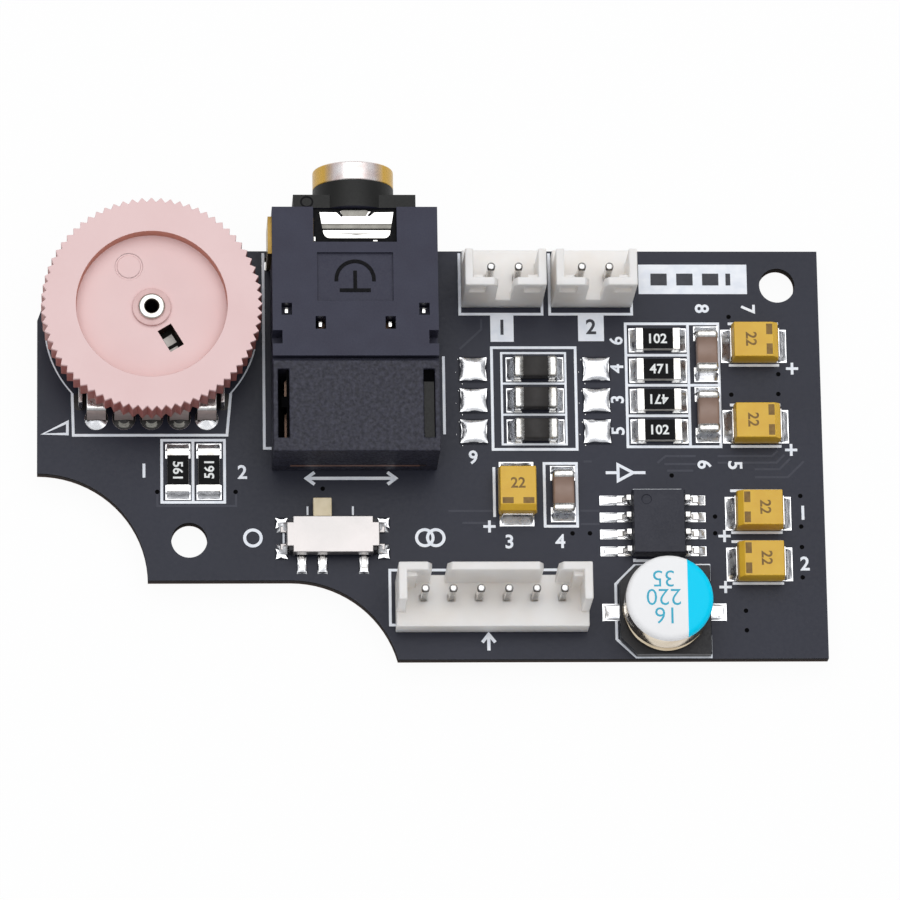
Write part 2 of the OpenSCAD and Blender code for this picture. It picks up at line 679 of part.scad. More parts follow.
slot_x = -contact_x - strip_t / 2;
touch_x = -bore_d / 2 - strip_t / 2 - 0.03;
spring_path = [[slot_x, rear + 4.05], [slot_x, rear + 5.55], [-contact_in, rear + 6.3],
               [touch_x - 0.45, rear + 9.7], [touch_x, rear + 10.3], [touch_x - 0.4, rear + 11.1]];
switch_path = [[slot_x, rear + 1.1], [slot_x, rear + 3.05], [-contact_in, rear + 3.9],
               [-contact_in, rear + 5.4]];

module jack_tip_spring() color("#c08a4a") jack_frame() jack_strip(spring_path, leg_y[0]);

module jack_ring_spring() color("#c08a4a") jack_frame() mirror([1, 0, 0])
    jack_strip(spring_path, leg_y[0]);

module jack_tip_switch() color("#c08a4a") jack_frame() jack_strip(switch_path, leg_y[1]);

// Its tail crosses the back of the jack
module jack_ring_switch() color("#c08a4a") jack_frame() {
    mirror([1, 0, 0]) jack_strip(switch_path, leg_y[1]);
    corner_box([contact_x, rear, tail_z[0]], [contact_x + strip_t, leg_y[1] - leg_l / 2, tail_z[1]]);
    corner_box([-tail_in, rear, tail_z[0]], [contact_x, rear + strip_t, tail_z[1]]);
}

// Pin headers. In its own frame the slotted wall's outer face is at y = 0 and the header has
// positive Y.

// The key slot, with its mouth cut wider at the top
module key_slot() translate([0, hdr_wall / 2, 0]) rotate([90, 0, 0])
    translate([0, 0, -hdr_wall / 2 - cut]) linear_extrude(hdr_wall + 2 * cut) polygon([
        [-key_w / 2, hdr_floor], [key_w / 2, hdr_floor], [key_w / 2, hdr_h - 0.5],
        [key_w / 2 + 0.3, hdr_h], [key_w / 2 + 0.3, hdr_h + cut],
        [-key_w / 2 - 0.3, hdr_h + cut], [-key_w / 2 - 0.3, hdr_h], [-key_w / 2, hdr_h - 0.5]]);

module header_housing(n, keys) {
    l = (n - 1) * pin_pitch + hdr_extra;
    difference() {
        union() {
            corner_box([-l / 2, 0, 0], [l / 2, hdr_d, hdr_floor]);
            corner_box([-l / 2, 0, hdr_floor], [l / 2, hdr_wall, hdr_h]);
            for (side = [0, 1]) mirror([side, 0, 0]) {
                corner_box([l / 2 - hdr_wall, 0, hdr_floor], [l / 2, hdr_end, hdr_h]);
                corner_box([l / 2 - hdr_wall - corner_l, 0, hdr_floor],
                           [l / 2 - hdr_wall, hdr_wall + corner_d, hdr_h - corner_down]);
            }
        }
        for (side = [0, 1]) mirror([side, 0, 0]) translate([l / 2 - pocket_in, 0, hdr_h - pocket_down])
            corner_box([-pocket.x, -cut, -pocket.z], [0, pocket.y, 0]);
        for (x = keys) translate([x, 0, 0]) key_slot();
        for (x = row_x(n, pin_pitch)) translate([x - pin_a / 2, pin_in - pin_a / 2, -cut])
            cube([pin_a, pin_a, hdr_floor + 2 * cut]);
    }
}

// Square pins with a short chamfered tip
module pin_side() translate([0, pin_a / 2, 0]) rotate([90, 0, 0]) linear_extrude(pin_a) polygon([
    [-pin_a / 2, lead_end], [pin_a / 2, lead_end], [pin_a / 2, pin_h - 0.3],
    [pin_a / 4, pin_h], [-pin_a / 4, pin_h], [-pin_a / 2, pin_h - 0.3]]);

module header_pins(points) for (p = points) translate([p.x, p.y, 0]) intersection() {
    pin_side();
    rotate(90) pin_side();
}

module left_header_housing() color("#e6e2da") node_frame()
    translate([left_hdr_at.x, left_hdr_at.y, 0]) header_housing(out_pins, [0]);
module left_header_pins() color("#c9cacb") node_frame() header_pins(left_pin_at);
module right_header_housing() color("#e6e2da") node_frame()
    translate([right_hdr_at.x, right_hdr_at.y, 0]) header_housing(out_pins, [0]);
module right_header_pins() color("#c9cacb") node_frame() header_pins(right_pin_at);
module input_header_housing() color("#e6e2da") node_frame()
    translate([in_hdr_at.x, in_hdr_at.y, 0]) rotate(180)
        header_housing(in_pins, [-2 * pin_pitch, 2 * pin_pitch]);
module input_header_pins() color("#c9cacb") node_frame() header_pins(in_pin_at);

// Slide switch, drawn from the middle of its body

module switch_frame() node_frame() translate([sw_at.x, sw_at.y, land_t]) children();

inner_l = sw_l - 2 * cover_t;
inner_d = sw_d - 2 * cover_t;
base_h = sw_h - cover_t;

// The tub that the lever runs in, open at the top and with a long gate at the back
module switch_base() color("#26262a") switch_frame() difference() {
    slab([inner_l, inner_d, base_h]);
    translate([0, (carriage_d - inner_d) / 2 + room_wall, lever_z[0] - bridge_t])
        slab([carriage_l + lever_travel + 2 * lever_gap, carriage_d + 2 * lever_gap, base_h]);
    translate([0, inner_d / 2 - room_wall, lever_z[0] - lever_gap])
        slab([lever_w + lever_travel + 2 * lever_gap, inner_d, base_h]);
}

module switch_cover() color("#d8d9da") switch_frame() {
    difference() {
        slab([sw_l, sw_d, sw_h]);
        slab([inner_l, inner_d, base_h]);
        // Notched corners, and the gate for the lever
        for (x = [-1, 1], y = [-1, 1]) translate([x * sw_l / 2, y * sw_d / 2, -cut])
            slab([2 * notch_a, 2 * notch_a, sw_h + 2 * cut]);
        translate([0, sw_d / 2, -cut])
            slab([lever_w + lever_travel + 4 * lever_gap, sw_d / 2, lever_z[1] + lever_gap + cut]);
        translate([0, -sw_d / 2, -cut]) slab([sw_l - 1.2, sw_d / 3, 0.5 + cut]);
    }
    // Feet turned out onto the lands
    for (x = [0, 1], y = [0, 1]) mirror([x, 0, 0]) mirror([0, y, 0])
        translate([sw_l / 2, sw_d / 2 - notch_a - 0.5, 0]) cube([0.45, 0.5, cover_t]);
}

module switch_lever() color("#d9c7a0") switch_frame() translate([lever_x, 0, 0]) {
    translate([0, (carriage_d - inner_d) / 2 + room_wall, lever_z[0]])
        slab([carriage_l, carriage_d, lever_z[1] - lever_z[0]]);
    translate([-lever_w / 2, (carriage_d - inner_d) / 2 + room_wall + carriage_d / 2, lever_z[0]])
        cube([lever_w, sw_d / 2 + lever_out - carriage_d + inner_d / 2 - room_wall,
              lever_z[1] - lever_z[0]]);
}

// Sprung bridge under the lever, which joins two of the terminals
module switch_bridge() color("#c8a86a") switch_frame()
    translate([lever_x, (carriage_d - inner_d) / 2 + room_wall, lever_z[0] - bridge_t + 0.02])
        slab([carriage_l - 0.3, carriage_d * 0.6, bridge_t - 0.02]);

module switch_terminals() color("#c6c8c9") switch_frame() for (x = switch_pin_x)
    translate([x - 0.2, -sw_d / 2 - 0.9, 0]) cube([0.4, 0.9 + cover_t, 0.2]);

// Chip parts

// A ceramic block with a metal cap over each end
module chip_part(h) translate([0, 0, land_t]) {
    slab([chip_l - 2 * term_l, chip_w - 2 * skin, h - 2 * skin], skin);
    for (side = [-1, 1]) translate([side * (chip_l - term_l) / 2, 0, 0])
        slab([term_l, chip_w, h]);
}

module resistor_1() color("#2b2b2e") node_frame() at_site(resistor_at[0]) chip_part(res_h);
module resistor_2() color("#2b2b2e") node_frame() at_site(resistor_at[1]) chip_part(res_h);
module resistor_3() color("#2b2b2e") node_frame() at_site(resistor_at[4]) chip_part(res_h);
module resistor_4() color("#2b2b2e") node_frame() at_site(resistor_at[3]) chip_part(res_h);
module resistor_5() color("#2b2b2e") node_frame() at_site(resistor_at[5]) chip_part(res_h);
module resistor_6() color("#2b2b2e") node_frame() at_site(resistor_at[2]) chip_part(res_h);
module ferrite_bead_1() color("#3a3a3d") node_frame() at_site(bead_sites[0]) chip_part(bead_h);
module ferrite_bead_2() color("#3a3a3d") node_frame() at_site(bead_sites[1]) chip_part(bead_h);
module ferrite_bead_3() color("#3a3a3d") node_frame() at_site(bead_sites[2]) chip_part(bead_h);
module ceramic_capacitor_4() color("#a3857a") node_frame() at_site(mlcc_sites[0]) chip_part(mlcc_h);
module ceramic_capacitor_6() color("#a3857a") node_frame() at_site(mlcc_sites[1]) chip_part(mlcc_h);
module ceramic_capacitor_8() color("#a3857a") node_frame() at_site(mlcc_sites[2]) chip_part(mlcc_h);

// Moulded capacitors: the sides lean in above and below the parting line at half height

module leaning_profile(w) polygon([
    [-w / 2 + tant_draft, 0], [w / 2 - tant_draft, 0], [w / 2, tant_h / 2],
    [w / 2 - tant_draft, tant_h], [-w / 2 + tant_draft, tant_h], [-w / 2, tant_h / 2]]);

module moulded_body() translate([0, 0, land_t + tant_term_t]) intersection() {
    translate([0, tant_w / 2, 0]) rotate([90, 0, 0]) linear_extrude(tant_w) difference() {
        leaning_profile(tant_l);
        // Bevelled upper edge on the plus side
        translate([tant_l / 2 - tant_draft - tant_bevel, tant_h]) rotate(-45) square(tant_h);
    }
    translate([-tant_l / 2, 0, 0]) rotate([90, 0, 90]) linear_extrude(tant_l) leaning_profile(tant_w);
}

// Strips that leave the ends at half height, run down and fold in under the body
module moulded_terminals() for (side = [0, 180]) rotate(side)
    translate([0, tant_term_w / 2, land_t]) rotate([90, 0, 0]) linear_extrude(tant_term_w) polygon([
        [tant_l / 2 - tant_foot, 0], [tant_l / 2 + tant_term_t, 0],
        [tant_l / 2 + tant_term_t, tant_h / 2 + tant_term_t], [tant_l / 2, tant_h / 2 + tant_term_t],
        [tant_l / 2, tant_term_t], [tant_l / 2 - tant_foot, tant_term_t]]);

module moulded_capacitor_1() color("#e0a92e") node_frame() at_site(tant_sites[0]) moulded_body();
module moulded_capacitor_2() color("#e0a92e") node_frame() at_site(tant_sites[1]) moulded_body();
module moulded_capacitor_3() color("#e0a92e") node_frame() at_site(tant_sites[2]) moulded_body();
module moulded_capacitor_5() color("#e0a92e") node_frame() at_site(tant_sites[3]) moulded_body();
module moulded_capacitor_7() color("#e0a92e") node_frame() at_site(tant_sites[4]) moulded_body();
module moulded_terminals_1() color("#c6c8c9") node_frame() at_site(tant_sites[0]) moulded_terminals();
module moulded_terminals_2() color("#c6c8c9") node_frame() at_site(tant_sites[1]) moulded_terminals();
module moulded_terminals_3() color("#c6c8c9") node_frame() at_site(tant_sites[2]) moulded_terminals();
module moulded_terminals_5() color("#c6c8c9") node_frame() at_site(tant_sites[3]) moulded_terminals();
module moulded_terminals_7() color("#c6c8c9") node_frame() at_site(tant_sites[4]) moulded_terminals();

// Amplifier chip

module ic_profile(w, h) polygon([
    [-w / 2 + ic_draft, 0], [w / 2 - ic_draft, 0], [w / 2, h / 2],
    [w / 2 - ic_draft, h], [-w / 2 + ic_draft, h], [-w / 2, h / 2]]);

module amplifier_chip() color("#33343a") node_frame() {
    h = ic_h - ic_lift;
    translate([ic_at.x, ic_at.y, land_t + ic_lift]) difference() {
        intersection() {
            translate([0, ic_l / 2, 0]) rotate([90, 0, 0]) linear_extrude(ic_l) ic_profile(ic_w, h);
            translate([-ic_w / 2, 0, 0]) rotate([90, 0, 90]) linear_extrude(ic_w) ic_profile(ic_l, h);
        }
        translate([-0.9, 1.6, h - 0.08]) cylinder(h = cut, d = ic_dimple_d, $fn = 32);
    }
}

// Gull-wing leads
module amplifier_leads() color("#c6c8c9") node_frame()
    translate([ic_at.x, ic_at.y, land_t]) for (side = [0, 180]) rotate(side)
        for (y = row_x(4, ic_pitch)) translate([0, y + ic_lead_w / 2, 0]) rotate([90, 0, 0])
            linear_extrude(ic_lead_w) polygon(strip_outline([
                [ic_w / 2, (ic_h + ic_lift) / 2], [ic_w / 2 + 0.3, (ic_h + ic_lift) / 2],
                [ic_w / 2 + 0.55, ic_lead_t / 2], [ic_span / 2, ic_lead_t / 2]], ic_lead_t));

// Can capacitor

module can_frame() node_frame() translate([can_at.x, can_at.y, land_t]) children();

module can_shell() color("#e9eaec") can_frame() rotate_extrude() polygon([
    [0, can_base_h], [can_d / 2 - 0.15, can_base_h], [can_d / 2, can_base_h + 0.15],
    [can_d / 2, can_groove_z - 0.2], [can_d / 2 - can_neck, can_groove_z],
    [can_d / 2, can_groove_z + 0.2], [can_d / 2, can_h - 0.4], [can_d / 2 - 0.12, can_h - 0.12],
    [can_d / 2 - 0.4, can_h], [0, can_h]]);

module can_base_outline() difference() {
    square(can_base_a, center = true);
    for (y = [-1, 1]) translate([-can_base_a / 2, y * can_base_a / 2]) rotate(45)
        square(can_chamfer * sqrt(2), center = true);
}

module can_base() color("#2a2a2d") can_frame() difference() {
    linear_extrude(can_base_h) can_base_outline();
    // Grooves for the two leads under the base
    for (side = [0, 180]) rotate(side) translate([1, -can_lead_w / 2, -cut])
        cube([can_base_a, can_lead_w, 0.2 + cut]);
}

module can_leads() color("#c6c8c9") can_frame() for (side = [0, 180]) rotate(side)
    translate([1, -can_lead_w / 2, 0]) cube([can_base_a / 2 - 0.3, can_lead_w, 0.2]);

circuit_board();
tinned_lands();
solder_fillets();
solder_cones();
pot_frame();
pot_wafer();
pot_leads();
pot_rivet();
pot_washer();
thumbwheel();
pot_wiper();
jack_housing();
jack_rear_cap();
jack_nose_ring();
jack_sleeve_contact();
jack_tip_spring();
jack_ring_spring();
jack_tip_switch();
jack_ring_switch();
left_header_housing();
left_header_pins();
right_header_housing();
right_header_pins();
input_header_housing();
input_header_pins();
switch_base();
switch_cover();
switch_lever();
switch_bridge();
switch_terminals();
resistor_1();
resistor_2();
resistor_3();
resistor_4();
resistor_5();
resistor_6();
ferrite_bead_1();
ferrite_bead_2();
ferrite_bead_3();
ceramic_capacitor_4();
ceramic_capacitor_6();
ceramic_capacitor_8();
moulded_capacitor_1();
moulded_capacitor_2();
moulded_capacitor_3();
moulded_capacitor_5();
moulded_capacitor_7();
moulded_terminals_1();
moulded_terminals_2();
moulded_terminals_3();
moulded_terminals_5();
moulded_terminals_7();
amplifier_chip();
amplifier_leads();
can_shell();
can_base();
can_leads();
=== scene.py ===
"""Looks of an audio amplifier board: volume wheel, headphone jack, headers, chips and print.

Lengths are millimetres in the board's own frame, with zero at the middle of the board's top face,
X to the right, Y to the back and Z up. BoardFrame turns them to metres in the row frame.
"""

import logging
import math
from collections.abc import Callable, Sequence
from dataclasses import dataclass, field
from enum import Enum

import bmesh
import bpy
import numpy as np
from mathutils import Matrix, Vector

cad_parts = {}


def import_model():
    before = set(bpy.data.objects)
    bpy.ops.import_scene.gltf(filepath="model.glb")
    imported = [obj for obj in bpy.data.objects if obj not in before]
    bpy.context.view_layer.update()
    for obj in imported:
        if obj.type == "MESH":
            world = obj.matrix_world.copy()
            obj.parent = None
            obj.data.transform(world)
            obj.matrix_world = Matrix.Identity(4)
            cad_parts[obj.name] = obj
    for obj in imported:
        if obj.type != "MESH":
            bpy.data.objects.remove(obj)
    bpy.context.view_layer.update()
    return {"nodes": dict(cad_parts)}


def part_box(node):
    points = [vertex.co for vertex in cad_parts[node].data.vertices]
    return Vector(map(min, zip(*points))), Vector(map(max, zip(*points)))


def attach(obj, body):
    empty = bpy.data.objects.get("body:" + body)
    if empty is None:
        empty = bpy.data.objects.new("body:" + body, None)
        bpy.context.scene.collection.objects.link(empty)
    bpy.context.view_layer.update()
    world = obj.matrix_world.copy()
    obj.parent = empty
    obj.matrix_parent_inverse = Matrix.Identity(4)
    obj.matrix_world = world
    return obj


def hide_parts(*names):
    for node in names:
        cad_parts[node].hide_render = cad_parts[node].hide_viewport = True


MM = 0.001
JACK_NOSE_L = 3.4
# A face is upright where its normal rises or falls by less than this.
UPRIGHT = 0.5
JACK_SPRINGS = ("jack_tip_spring", "jack_ring_spring", "jack_tip_switch", "jack_ring_switch")
# The numbers that the CAD nodes of each kind of part end with.
RESISTORS = (1, 2, 3, 4, 5, 6)
BEADS = (1, 2, 3)
CERAMICS = (4, 6, 8)
MOULDED = (1, 2, 3, 5, 7)

Pair = tuple[float, float]
Triple = tuple[float, float, float]
Corners = tuple[float, float, float, float]
Station = tuple[float, float, float, float]
Socket = bpy.types.NodeSocket
Chooser = Callable[[np.ndarray, np.ndarray], np.ndarray]
log = logging.getLogger("audio_board")


class Body(str, Enum):
    """The bodies that a piece can ride on."""

    BOARD = "board"
    WHEEL = "wheel"
    LEVER = "lever"


class Turn(Enum):
    """Where a moulded capacitor's plus end points, as a direction in degrees."""

    RIGHT = 0
    LEFT = 180
    FRONT = -90


# Board frame and shapes


@dataclass(frozen=True)
class BoardFrame:
    """The board's own frame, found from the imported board."""

    origin: np.ndarray

    @classmethod
    def from_pack(cls) -> "BoardFrame":
        """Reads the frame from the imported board's box, with its origin in metres."""
        low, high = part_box("circuit_board")
        return cls(np.array([(low.x + high.x) / 2, (low.y + high.y) / 2, high.z]))

    def to_row(self, points: np.ndarray) -> np.ndarray:
        """Turns millimetres in the board's frame to metres in the row frame."""
        return self.origin + np.asarray(points, float) * MM

    def node_box(self, node: str) -> tuple[np.ndarray, np.ndarray]:
        """The lowest and highest corners of a CAD node, in the board's frame."""
        low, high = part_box(node)
        return (np.array(low) - self.origin) / MM, (np.array(high) - self.origin) / MM

    def node_middle(self, node: str) -> np.ndarray:
        """The middle of a CAD node's box, in the board's frame."""
        low, high = self.node_box(node)
        return (low + high) / 2

    def jack_front(self) -> Pair:
        """The middle of the jack's front face, where its nose starts."""
        low, high = self.node_box("jack_housing")
        return (low[0] + high[0]) / 2, high[1] - JACK_NOSE_L


@dataclass
class Shape:
    """Points in millimetres and the faces that join them."""

    points: np.ndarray
    faces: list[tuple[int, ...]]

    def moved(self, x: float, y: float, z: float = 0.0) -> "Shape":
        """The shape moved by x, y and z."""
        return Shape(self.points + np.array([x, y, z]), self.faces)

    def turned(self, degrees: float) -> "Shape":
        """The shape turned about the vertical axis.

        Args:
            degrees: The turn, anticlockwise from above.

        Returns:
            The turned shape.
        """
        a = math.radians(degrees)
        turn = np.array([[math.cos(a), math.sin(a), 0], [-math.sin(a), math.cos(a), 0], [0, 0, 1]])
        return Shape(self.points @ turn, self.faces)


def joined(shapes: Sequence[Shape]) -> Shape:
    """Puts several shapes into one.

    Args:
        shapes: The shapes, which keep their own points.

    Returns:
        One shape with all their points and faces.
    """
    starts = np.cumsum([0] + [len(s.points) for s in shapes[:-1]])
    faces = [tuple(i + int(start) for i in face) for s, start in zip(shapes, starts) for face in s.faces]
    return Shape(np.concatenate([s.points for s in shapes]), faces)


def sheet(x: np.ndarray, y: np.ndarray, z: np.ndarray, round_trip: bool = False) -> Shape:
    """A surface over a grid of two parameters: the point at row i and column j is (x, y, z)[i, j].

    Args:
        x: Grid of x values.
        y: Grid of y values.
        z: Grid of z values.
        round_trip: Whether the last column joins the first.

    Returns:
        The surface as four-sided faces.
    """
    x, y, z = np.broadcast_arrays(x, y, z)
    rows, cols = x.shape
    index = np.arange(rows * cols).reshape(rows, cols)
    right = np.roll(index, -1, axis=1) if round_trip else index[:, 1:]
    left = index if round_trip else index[:, :-1]
    quads = np.stack([left[:-1], right[:-1], right[1:], left[1:]], axis=-1).reshape(-1, 4)
    return Shape(np.stack([x, y, z], axis=-1).reshape(-1, 3), [tuple(q) for q in quads.tolist()])


def lathe(profile: Sequence[Pair], steps: int = 64) -> Shape:
    """A surface of revolution: each (radius, height) of the profile goes once round the z axis.

    Args:
        profile: Points from the bottom up on the outside, then down on the inside if hollow.
        steps: Steps round the axis.

    Returns:
        The surface, whose poles close where the radius is zero.
    """
    r, z = np.array(profile, float).T
    a = np.arange(steps) * 2 * math.pi / steps
    return sheet(np.outer(r, np.cos(a)), np.outer(r, np.sin(a)), z[:, None] * np.ones(steps), True)


def ribbon(path: Sequence[Pair], width: float, closed: bool = False) -> Shape:
    """A flat strip along a path: each corner is cut at the mean of the two sides' normals.

    Args:
        path: Points of the middle line.
        width: Width of the strip.
        closed: Whether the last point joins the first.

    Returns:
        The strip at z = 0, facing up.
    """
    sharpest = 0.3
    p = np.array(path, float)
    ahead = np.roll(p, -1, axis=0) - p
    behind = np.roll(ahead, 1, axis=0)
    if not closed:
        ahead[-1] = ahead[-2]
        behind[0] = ahead[0]
    ahead /= np.linalg.norm(ahead, axis=1)[:, None]
    behind /= np.linalg.norm(behind, axis=1)[:, None]
    side = ahead + behind
    side = np.stack([-side[:, 1], side[:, 0]], axis=1)
    normal = np.stack([-ahead[:, 1], ahead[:, 0]], axis=1)
    side *= (width / 2 / np.maximum((side * normal).sum(axis=1), sharpest))[:, None]
    rows = np.stack([p - side, p + side])
    return sheet(rows[:, :, 0], rows[:, :, 1], np.zeros(rows.shape[:2]), closed)


def panel(x0: float, y0: float, x1: float, y1: float) -> Shape:
    """A filled rectangle between two corners."""
    return ribbon([(x0, (y0 + y1) / 2), (x1, (y0 + y1) / 2)], abs(y1 - y0))


def flat(*corners: Pair) -> Shape:
    """A filled flat shape with the given corners, anticlockwise, at z = 0."""
    return Shape(np.array([(x, y, 0) for x, y in corners], float), [tuple(range(len(corners)))])


def bar(stations: Sequence[Station], steps: int = 32) -> Shape:
    """A solid whose cross-section changes along x.

    The section at each station is a superellipse: |y / a|^n + |z / b|^n = 1. A large n gives a
    box with rounded edges, and 2 gives an ellipse. The last ring at each end closes on a point.

    Args:
        stations: For each station its x, a, b and n.
        steps: Points round each section.

    Returns:
        The solid about the x axis.
    """
    t = (np.arange(steps) + 0.5) * 2 * math.pi / steps
    x, a, b, n = (np.array(v, float)[:, None] for v in zip(*stations))
    y = a * np.sign(np.cos(t)) * np.abs(np.cos(t)) ** (2 / n)
    z = b * np.sign(np.sin(t)) * np.abs(np.sin(t)) ** (2 / n)
    return sheet(x * np.ones(steps), y, z, True)


def rounded_end(reach: float, sign: float, half_w: float, half_h: float, radius: float, n: float,
                steps: int = 6) -> list[Station]:
    """Stations of a bar's end, which draws in by a quarter circle over the last radius.

    Args:
        reach: Distance from zero to the end.
        sign: 1 for the end at positive x and -1 for the other.
        half_w: Half width before the end.
        half_h: Half height before the end.
        radius: Radius of the rounding.
        n: Exponent of the section.
        steps: Stations in the rounding.

    Returns:
        The stations from the inside out.
    """
    made = []
    for a in np.linspace(0, math.pi / 2, steps):
        inset = radius * (1 - math.cos(a))
        made.append((sign * (reach - radius + radius * math.sin(a)), half_w - inset, half_h - inset, n))
    made.append((sign * reach, 0.0, 0.0, n))
    return made


def arc(radius: float, start: float, end: float, steps: int = 24) -> list[Pair]:
    """Points on a circle about zero from one direction in degrees to another."""
    a = np.radians(np.linspace(start, end, steps))
    return list(zip(radius * np.cos(a), radius * np.sin(a)))


def disc(radius: float, steps: int = 16) -> Shape:
    """A flat round patch at z = 0."""
    return lathe([(radius, 0), (0, 0)], steps)


def values_of(parts: bpy.types.bpy_prop_collection, name: str) -> np.ndarray:
    """Reads a vector of each vertex or face of a mesh.

    Args:
        parts: The vertices or faces.
        name: The vector's name.

    Returns:
        One row of three numbers for each part.
    """
    found = np.zeros(len(parts) * 3)
    parts.foreach_get(name, found)
    return found.reshape(-1, 3)


def lettering(body: str, height: float, degrees: float = 0.0, weight: float = 0.022) -> Shape:
    """Plain numbers as flat faces, centred on zero.

    Args:
        body: The numbers to print.
        height: Height of a number in millimetres.
        degrees: Direction of the line of numbers.
        weight: How far each stroke is widened, as a share of the height.

    Returns:
        The numbers at z = 0.
    """
    curve = bpy.data.curves.new("numbers", "FONT")
    curve.body = body
    curve.resolution_u = 3
    curve.offset = weight
    holder = bpy.data.objects.new("numbers", curve)
    mesh = bpy.data.meshes.new_from_object(holder)
    points = values_of(mesh.vertices, "co")
    low, high = points.min(axis=0), points.max(axis=0)
    points = (points - (low + high) / 2) * height / (high[1] - low[1])
    points[:, 2] = 0
    shape = Shape(points, [tuple(p.vertices) for p in mesh.polygons]).turned(degrees)
    bpy.data.objects.remove(holder)
    bpy.data.curves.remove(curve)
    bpy.data.meshes.remove(mesh)
    return shape


def stacked(shapes: Sequence[Shape], step: float = 0.0012, levels: int = 12) -> Shape:
    """Joins flat shapes, each a hair above the one before, so that none shares a plane."""
    return joined([shape.moved(0, 0, (i % levels) * step) for i, shape in enumerate(shapes)])


def ripple(x: np.ndarray, y: np.ndarray, size: float, seed: float) -> np.ndarray:
    """Gentle unevenness: the mean of three crossed sines whose waves are about size long.

    Args:
        x: Places along one direction.
        y: Places across it.
        size: Length of a wave.
        seed: Shifts the waves.

    Returns:
        Values between -1 and 1.
    """
    k = 2 * math.pi / size
    along = np.sin(k * x + seed)
    across = np.sin(k * 0.8 * y + 2.1 * seed)
    return (along + across + np.sin(k * 0.6 * (x + y) + seed * 0.7)) / 3


# Finishes


def srgb(code: str) -> tuple[float, float, float, float]:
    """Turns an sRGB hex colour to linear values.

    Args:
        code: The colour, such as #2a2b30.

    Returns:
        Linear red, green and blue, and an alpha of 1.
    """
    parts = [int(code[i : i + 2], 16) / 255 for i in (1, 3, 5)]
    linear = [p / 12.92 if p <= 0.04045 else ((p + 0.055) / 1.055) ** 2.4 for p in parts]
    return linear[0], linear[1], linear[2], 1.0


def add(tree: bpy.types.NodeTree, kind: str, inputs: dict | None = None, **settings) -> bpy.types.Node:
    """Adds one node.

    Args:
        tree: The node tree.
        kind: The node's Blender type name.
        inputs: For each input's name or number, a value or the output that feeds it.
        **settings: Properties of the node itself.

    Returns:
        The new node.
    """
    node = tree.nodes.new(kind)
    for key, value in settings.items():
        setattr(node, key, value)
    feed(tree, node, inputs or {})
    return node


def feed(tree: bpy.types.NodeTree, node: bpy.types.Node, inputs: dict) -> None:
    """Sets a node's inputs, or links them to the outputs that feed them.

    Args:
        tree: The node tree.
        node: The node.
        inputs: For each input's name or number, a value or an output.
    """
    for key, value in inputs.items():
        if isinstance(value, Socket):
            tree.links.new(value, node.inputs[key])
        else:
            node.inputs[key].default_value = value


@dataclass(frozen=True)
class Pattern:
    """What a finish can follow in its node tree: the place on the piece, and the wide noise."""

    tree: bpy.types.NodeTree
    where: Socket
    wide: Socket

    def along(self, axis: str, low: float, high: float) -> Socket:
        """Rises from 0 to 1 along an axis of the object between two places, and falls if high < low.

        Args:
            axis: X, Y or Z.
            low: Where it is 0, in millimetres.
            high: Where it is 1, in millimetres.

        Returns:
            The output that holds it.
        """
        place = add(self.tree, "ShaderNodeSeparateXYZ", {"Vector": self.where}).outputs[axis]
        return add(self.tree, "ShaderNodeMapRange", {
            "Value": place, "From Min": low * MM, "From Max": high * MM}).outputs[0]

    def layered(self, colour: str | Socket, *layers: tuple[Socket, str | Socket]) -> Socket:
        """Lays colours over one another, each as far as its share goes.

        Args:
            colour: The lowest colour, as a code or an output.
            *layers: From below, each share and the colour that it brings.

        Returns:
            The output that holds the result.
        """
        # A Mix node takes two colours at inputs 6 and 7 and gives the mixed one at output 2.
        for share, over in layers:
            lower, upper = (srgb(c) if isinstance(c, str) else c for c in (colour, over))
            mix = add(self.tree, "ShaderNodeMix", {0: share, 6: lower, 7: upper}, data_type="RGBA")
            colour = mix.outputs[2]
        return colour


